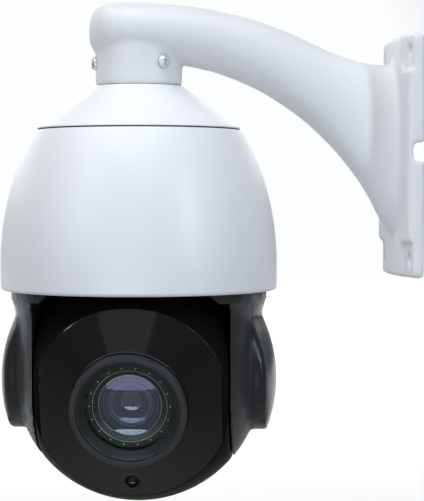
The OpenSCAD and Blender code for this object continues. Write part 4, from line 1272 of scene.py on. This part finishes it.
# --------------------------------------------------------------------------- stage
@dataclass
class Studio:
    """The floor, the soft lights and the camera."""

    width_px: int = 424
    height_px: int = 501
    focal_px: float = 1634.0
    eye_offset: tuple[float, float] = (-0.0701, -0.9484)
    eye_height: float = 0.0547
    yaw: float = -6.78
    pitch: float = -1.95
    floor_drop: float = 2.2
    dim_low: float = 0.04
    dim_high: float = 0.225
    pale: float = 1.0

    def floor(self) -> None:
        """Lays the pale floor."""
        low, _ = CAD_BOX
        shape = bmesh.new()
        bmesh.ops.create_grid(shape, x_segments=2, y_segments=2, size=45.0)
        bmesh.ops.translate(shape, vec=(0, 0, low[2] - self.floor_drop), verts=shape.verts)
        piece = Piece("studio_floor", shape)
        piece.object.data.materials.append(FLOOR_PAINT.material())

    def light(self, name: str, place: Sequence[float], size: tuple[float, float], power: float,
              tint: Colour = (1.0, 1.0, 1.0), aim: Sequence[float] = (0.0, 0.0, 0.0)) -> None:
        """Hangs one soft box.

        Args:
            name: The light's name.
            place: Its place from the dome's middle, in metres.
            size: Its width and height.
            power: Its power in watts.
            tint: Its colour.
            aim: The place that it faces, from the dome's middle.
        """
        data = bpy.data.lights.new(name, "AREA")
        data.shape, data.size, data.size_y = "RECTANGLE", size[0], size[1]
        data.energy, data.color = power, tint
        lamp = bpy.data.objects.new(name, data)
        bpy.context.scene.collection.objects.link(lamp)
        target = PLACES.dome.translation + Vector(aim)
        lamp.location = PLACES.dome.translation + Vector(place)
        lamp.rotation_euler = (target - lamp.location).to_track_quat("-Z", "Y").to_euler()

    def lights(self) -> None:
        """Hangs the soft boxes."""
        self.light("top_box", (-0.25, -0.35, 1.25), (1.5, 1.1), 14.0, (0.97, 0.99, 1.0))
        self.light("left_strip", (-1.15, -0.85, 0.72), (0.15, 1.0), 4.5, (0.78, 0.89, 1.0))
        self.light("right_strip", (0.95, -1.15, 0.50), (0.15, 1.0), 8.0, (0.78, 0.89, 1.0))
        self.light("left_rim", (-1.15, 1.35, -0.20), (0.10, 1.3), 1.0, (0.70, 0.85, 1.0))
        self.light("right_rim", (1.55, 0.78, -0.20), (0.10, 1.3), 0.9, (0.70, 0.85, 1.0))
        self.light("front_box", (-0.40, -1.36, -0.30), (1.15, 0.36), 5.6, (0.84, 0.92, 1.0))
        self.light("front_panel", (-0.50, -1.55, 0.52), (0.95, 0.80), 0.75)
        self.light("floor_box", (0.0, 30.0, 5.0), (40.0, 44.0), 8800.0, aim=(0.0, 30.0, -1.0))

    def room(self) -> None:
        """Sets the room's light: pale behind the dome, dim before it and darker underfoot."""
        world = bpy.data.worlds.new("studio_room")
        bpy.context.scene.world = world
        graph = Graph(world)
        _, ahead, up = graph.split(graph.out(graph.node("ShaderNodeTexCoord"), "Generated"))
        behind = graph.spread(ahead, 0.90, 0.97, 0.0, 1.0)
        level = graph.spread(up, -0.35, 0.25, self.dim_low, self.dim_high)
        strength = level + behind * (self.pale - level)
        back = graph.node("ShaderNodeBackground", None, Color=(0.97, 0.985, 1.0, 1.0), Strength=strength)
        graph.node("ShaderNodeOutputWorld", None, Surface=graph.out(back))

    def camera(self) -> None:
        """Sets the camera at eye level before the dome."""
        data = bpy.data.cameras.new("studio_camera")
        data.sensor_fit = "AUTO"
        data.sensor_width = 36.0
        data.lens = self.focal_px / max(self.width_px, self.height_px) * data.sensor_width
        data.clip_start, data.clip_end = 0.05, 90.0
        eye = bpy.data.objects.new("studio_camera", data)
        bpy.context.scene.collection.objects.link(eye)
        axis = PLACES.dome.translation
        eye.location = axis + Vector((*self.eye_offset, self.eye_height))
        eye.rotation_euler = (math.radians(90 + self.pitch), 0.0, math.radians(self.yaw))
        bpy.context.scene.camera = eye

    def build(self) -> None:
        """Builds the stage."""
        self.floor()
        self.lights()
        self.room()
        self.camera()
        bpy.context.scene.view_settings.view_transform = "Standard"


def main() -> None:
    """Builds every sub-assembly in order."""
    logging.basicConfig(level=logging.INFO, format="%(name)s: %(message)s")
    dress_nodes()
    parts: list[tuple[str, Callable[[], None]]] = [
        ("bracket", Bracket().build), ("bell", Bell().build), ("yoke", Yoke().build),
        ("ball", Ball().build), ("lens", LensUnit().build), ("studio", Studio().build)]
    for name, build in parts:
        build()
        LOG.info("%s built", name)


if __name__ == "__main__":
    main()
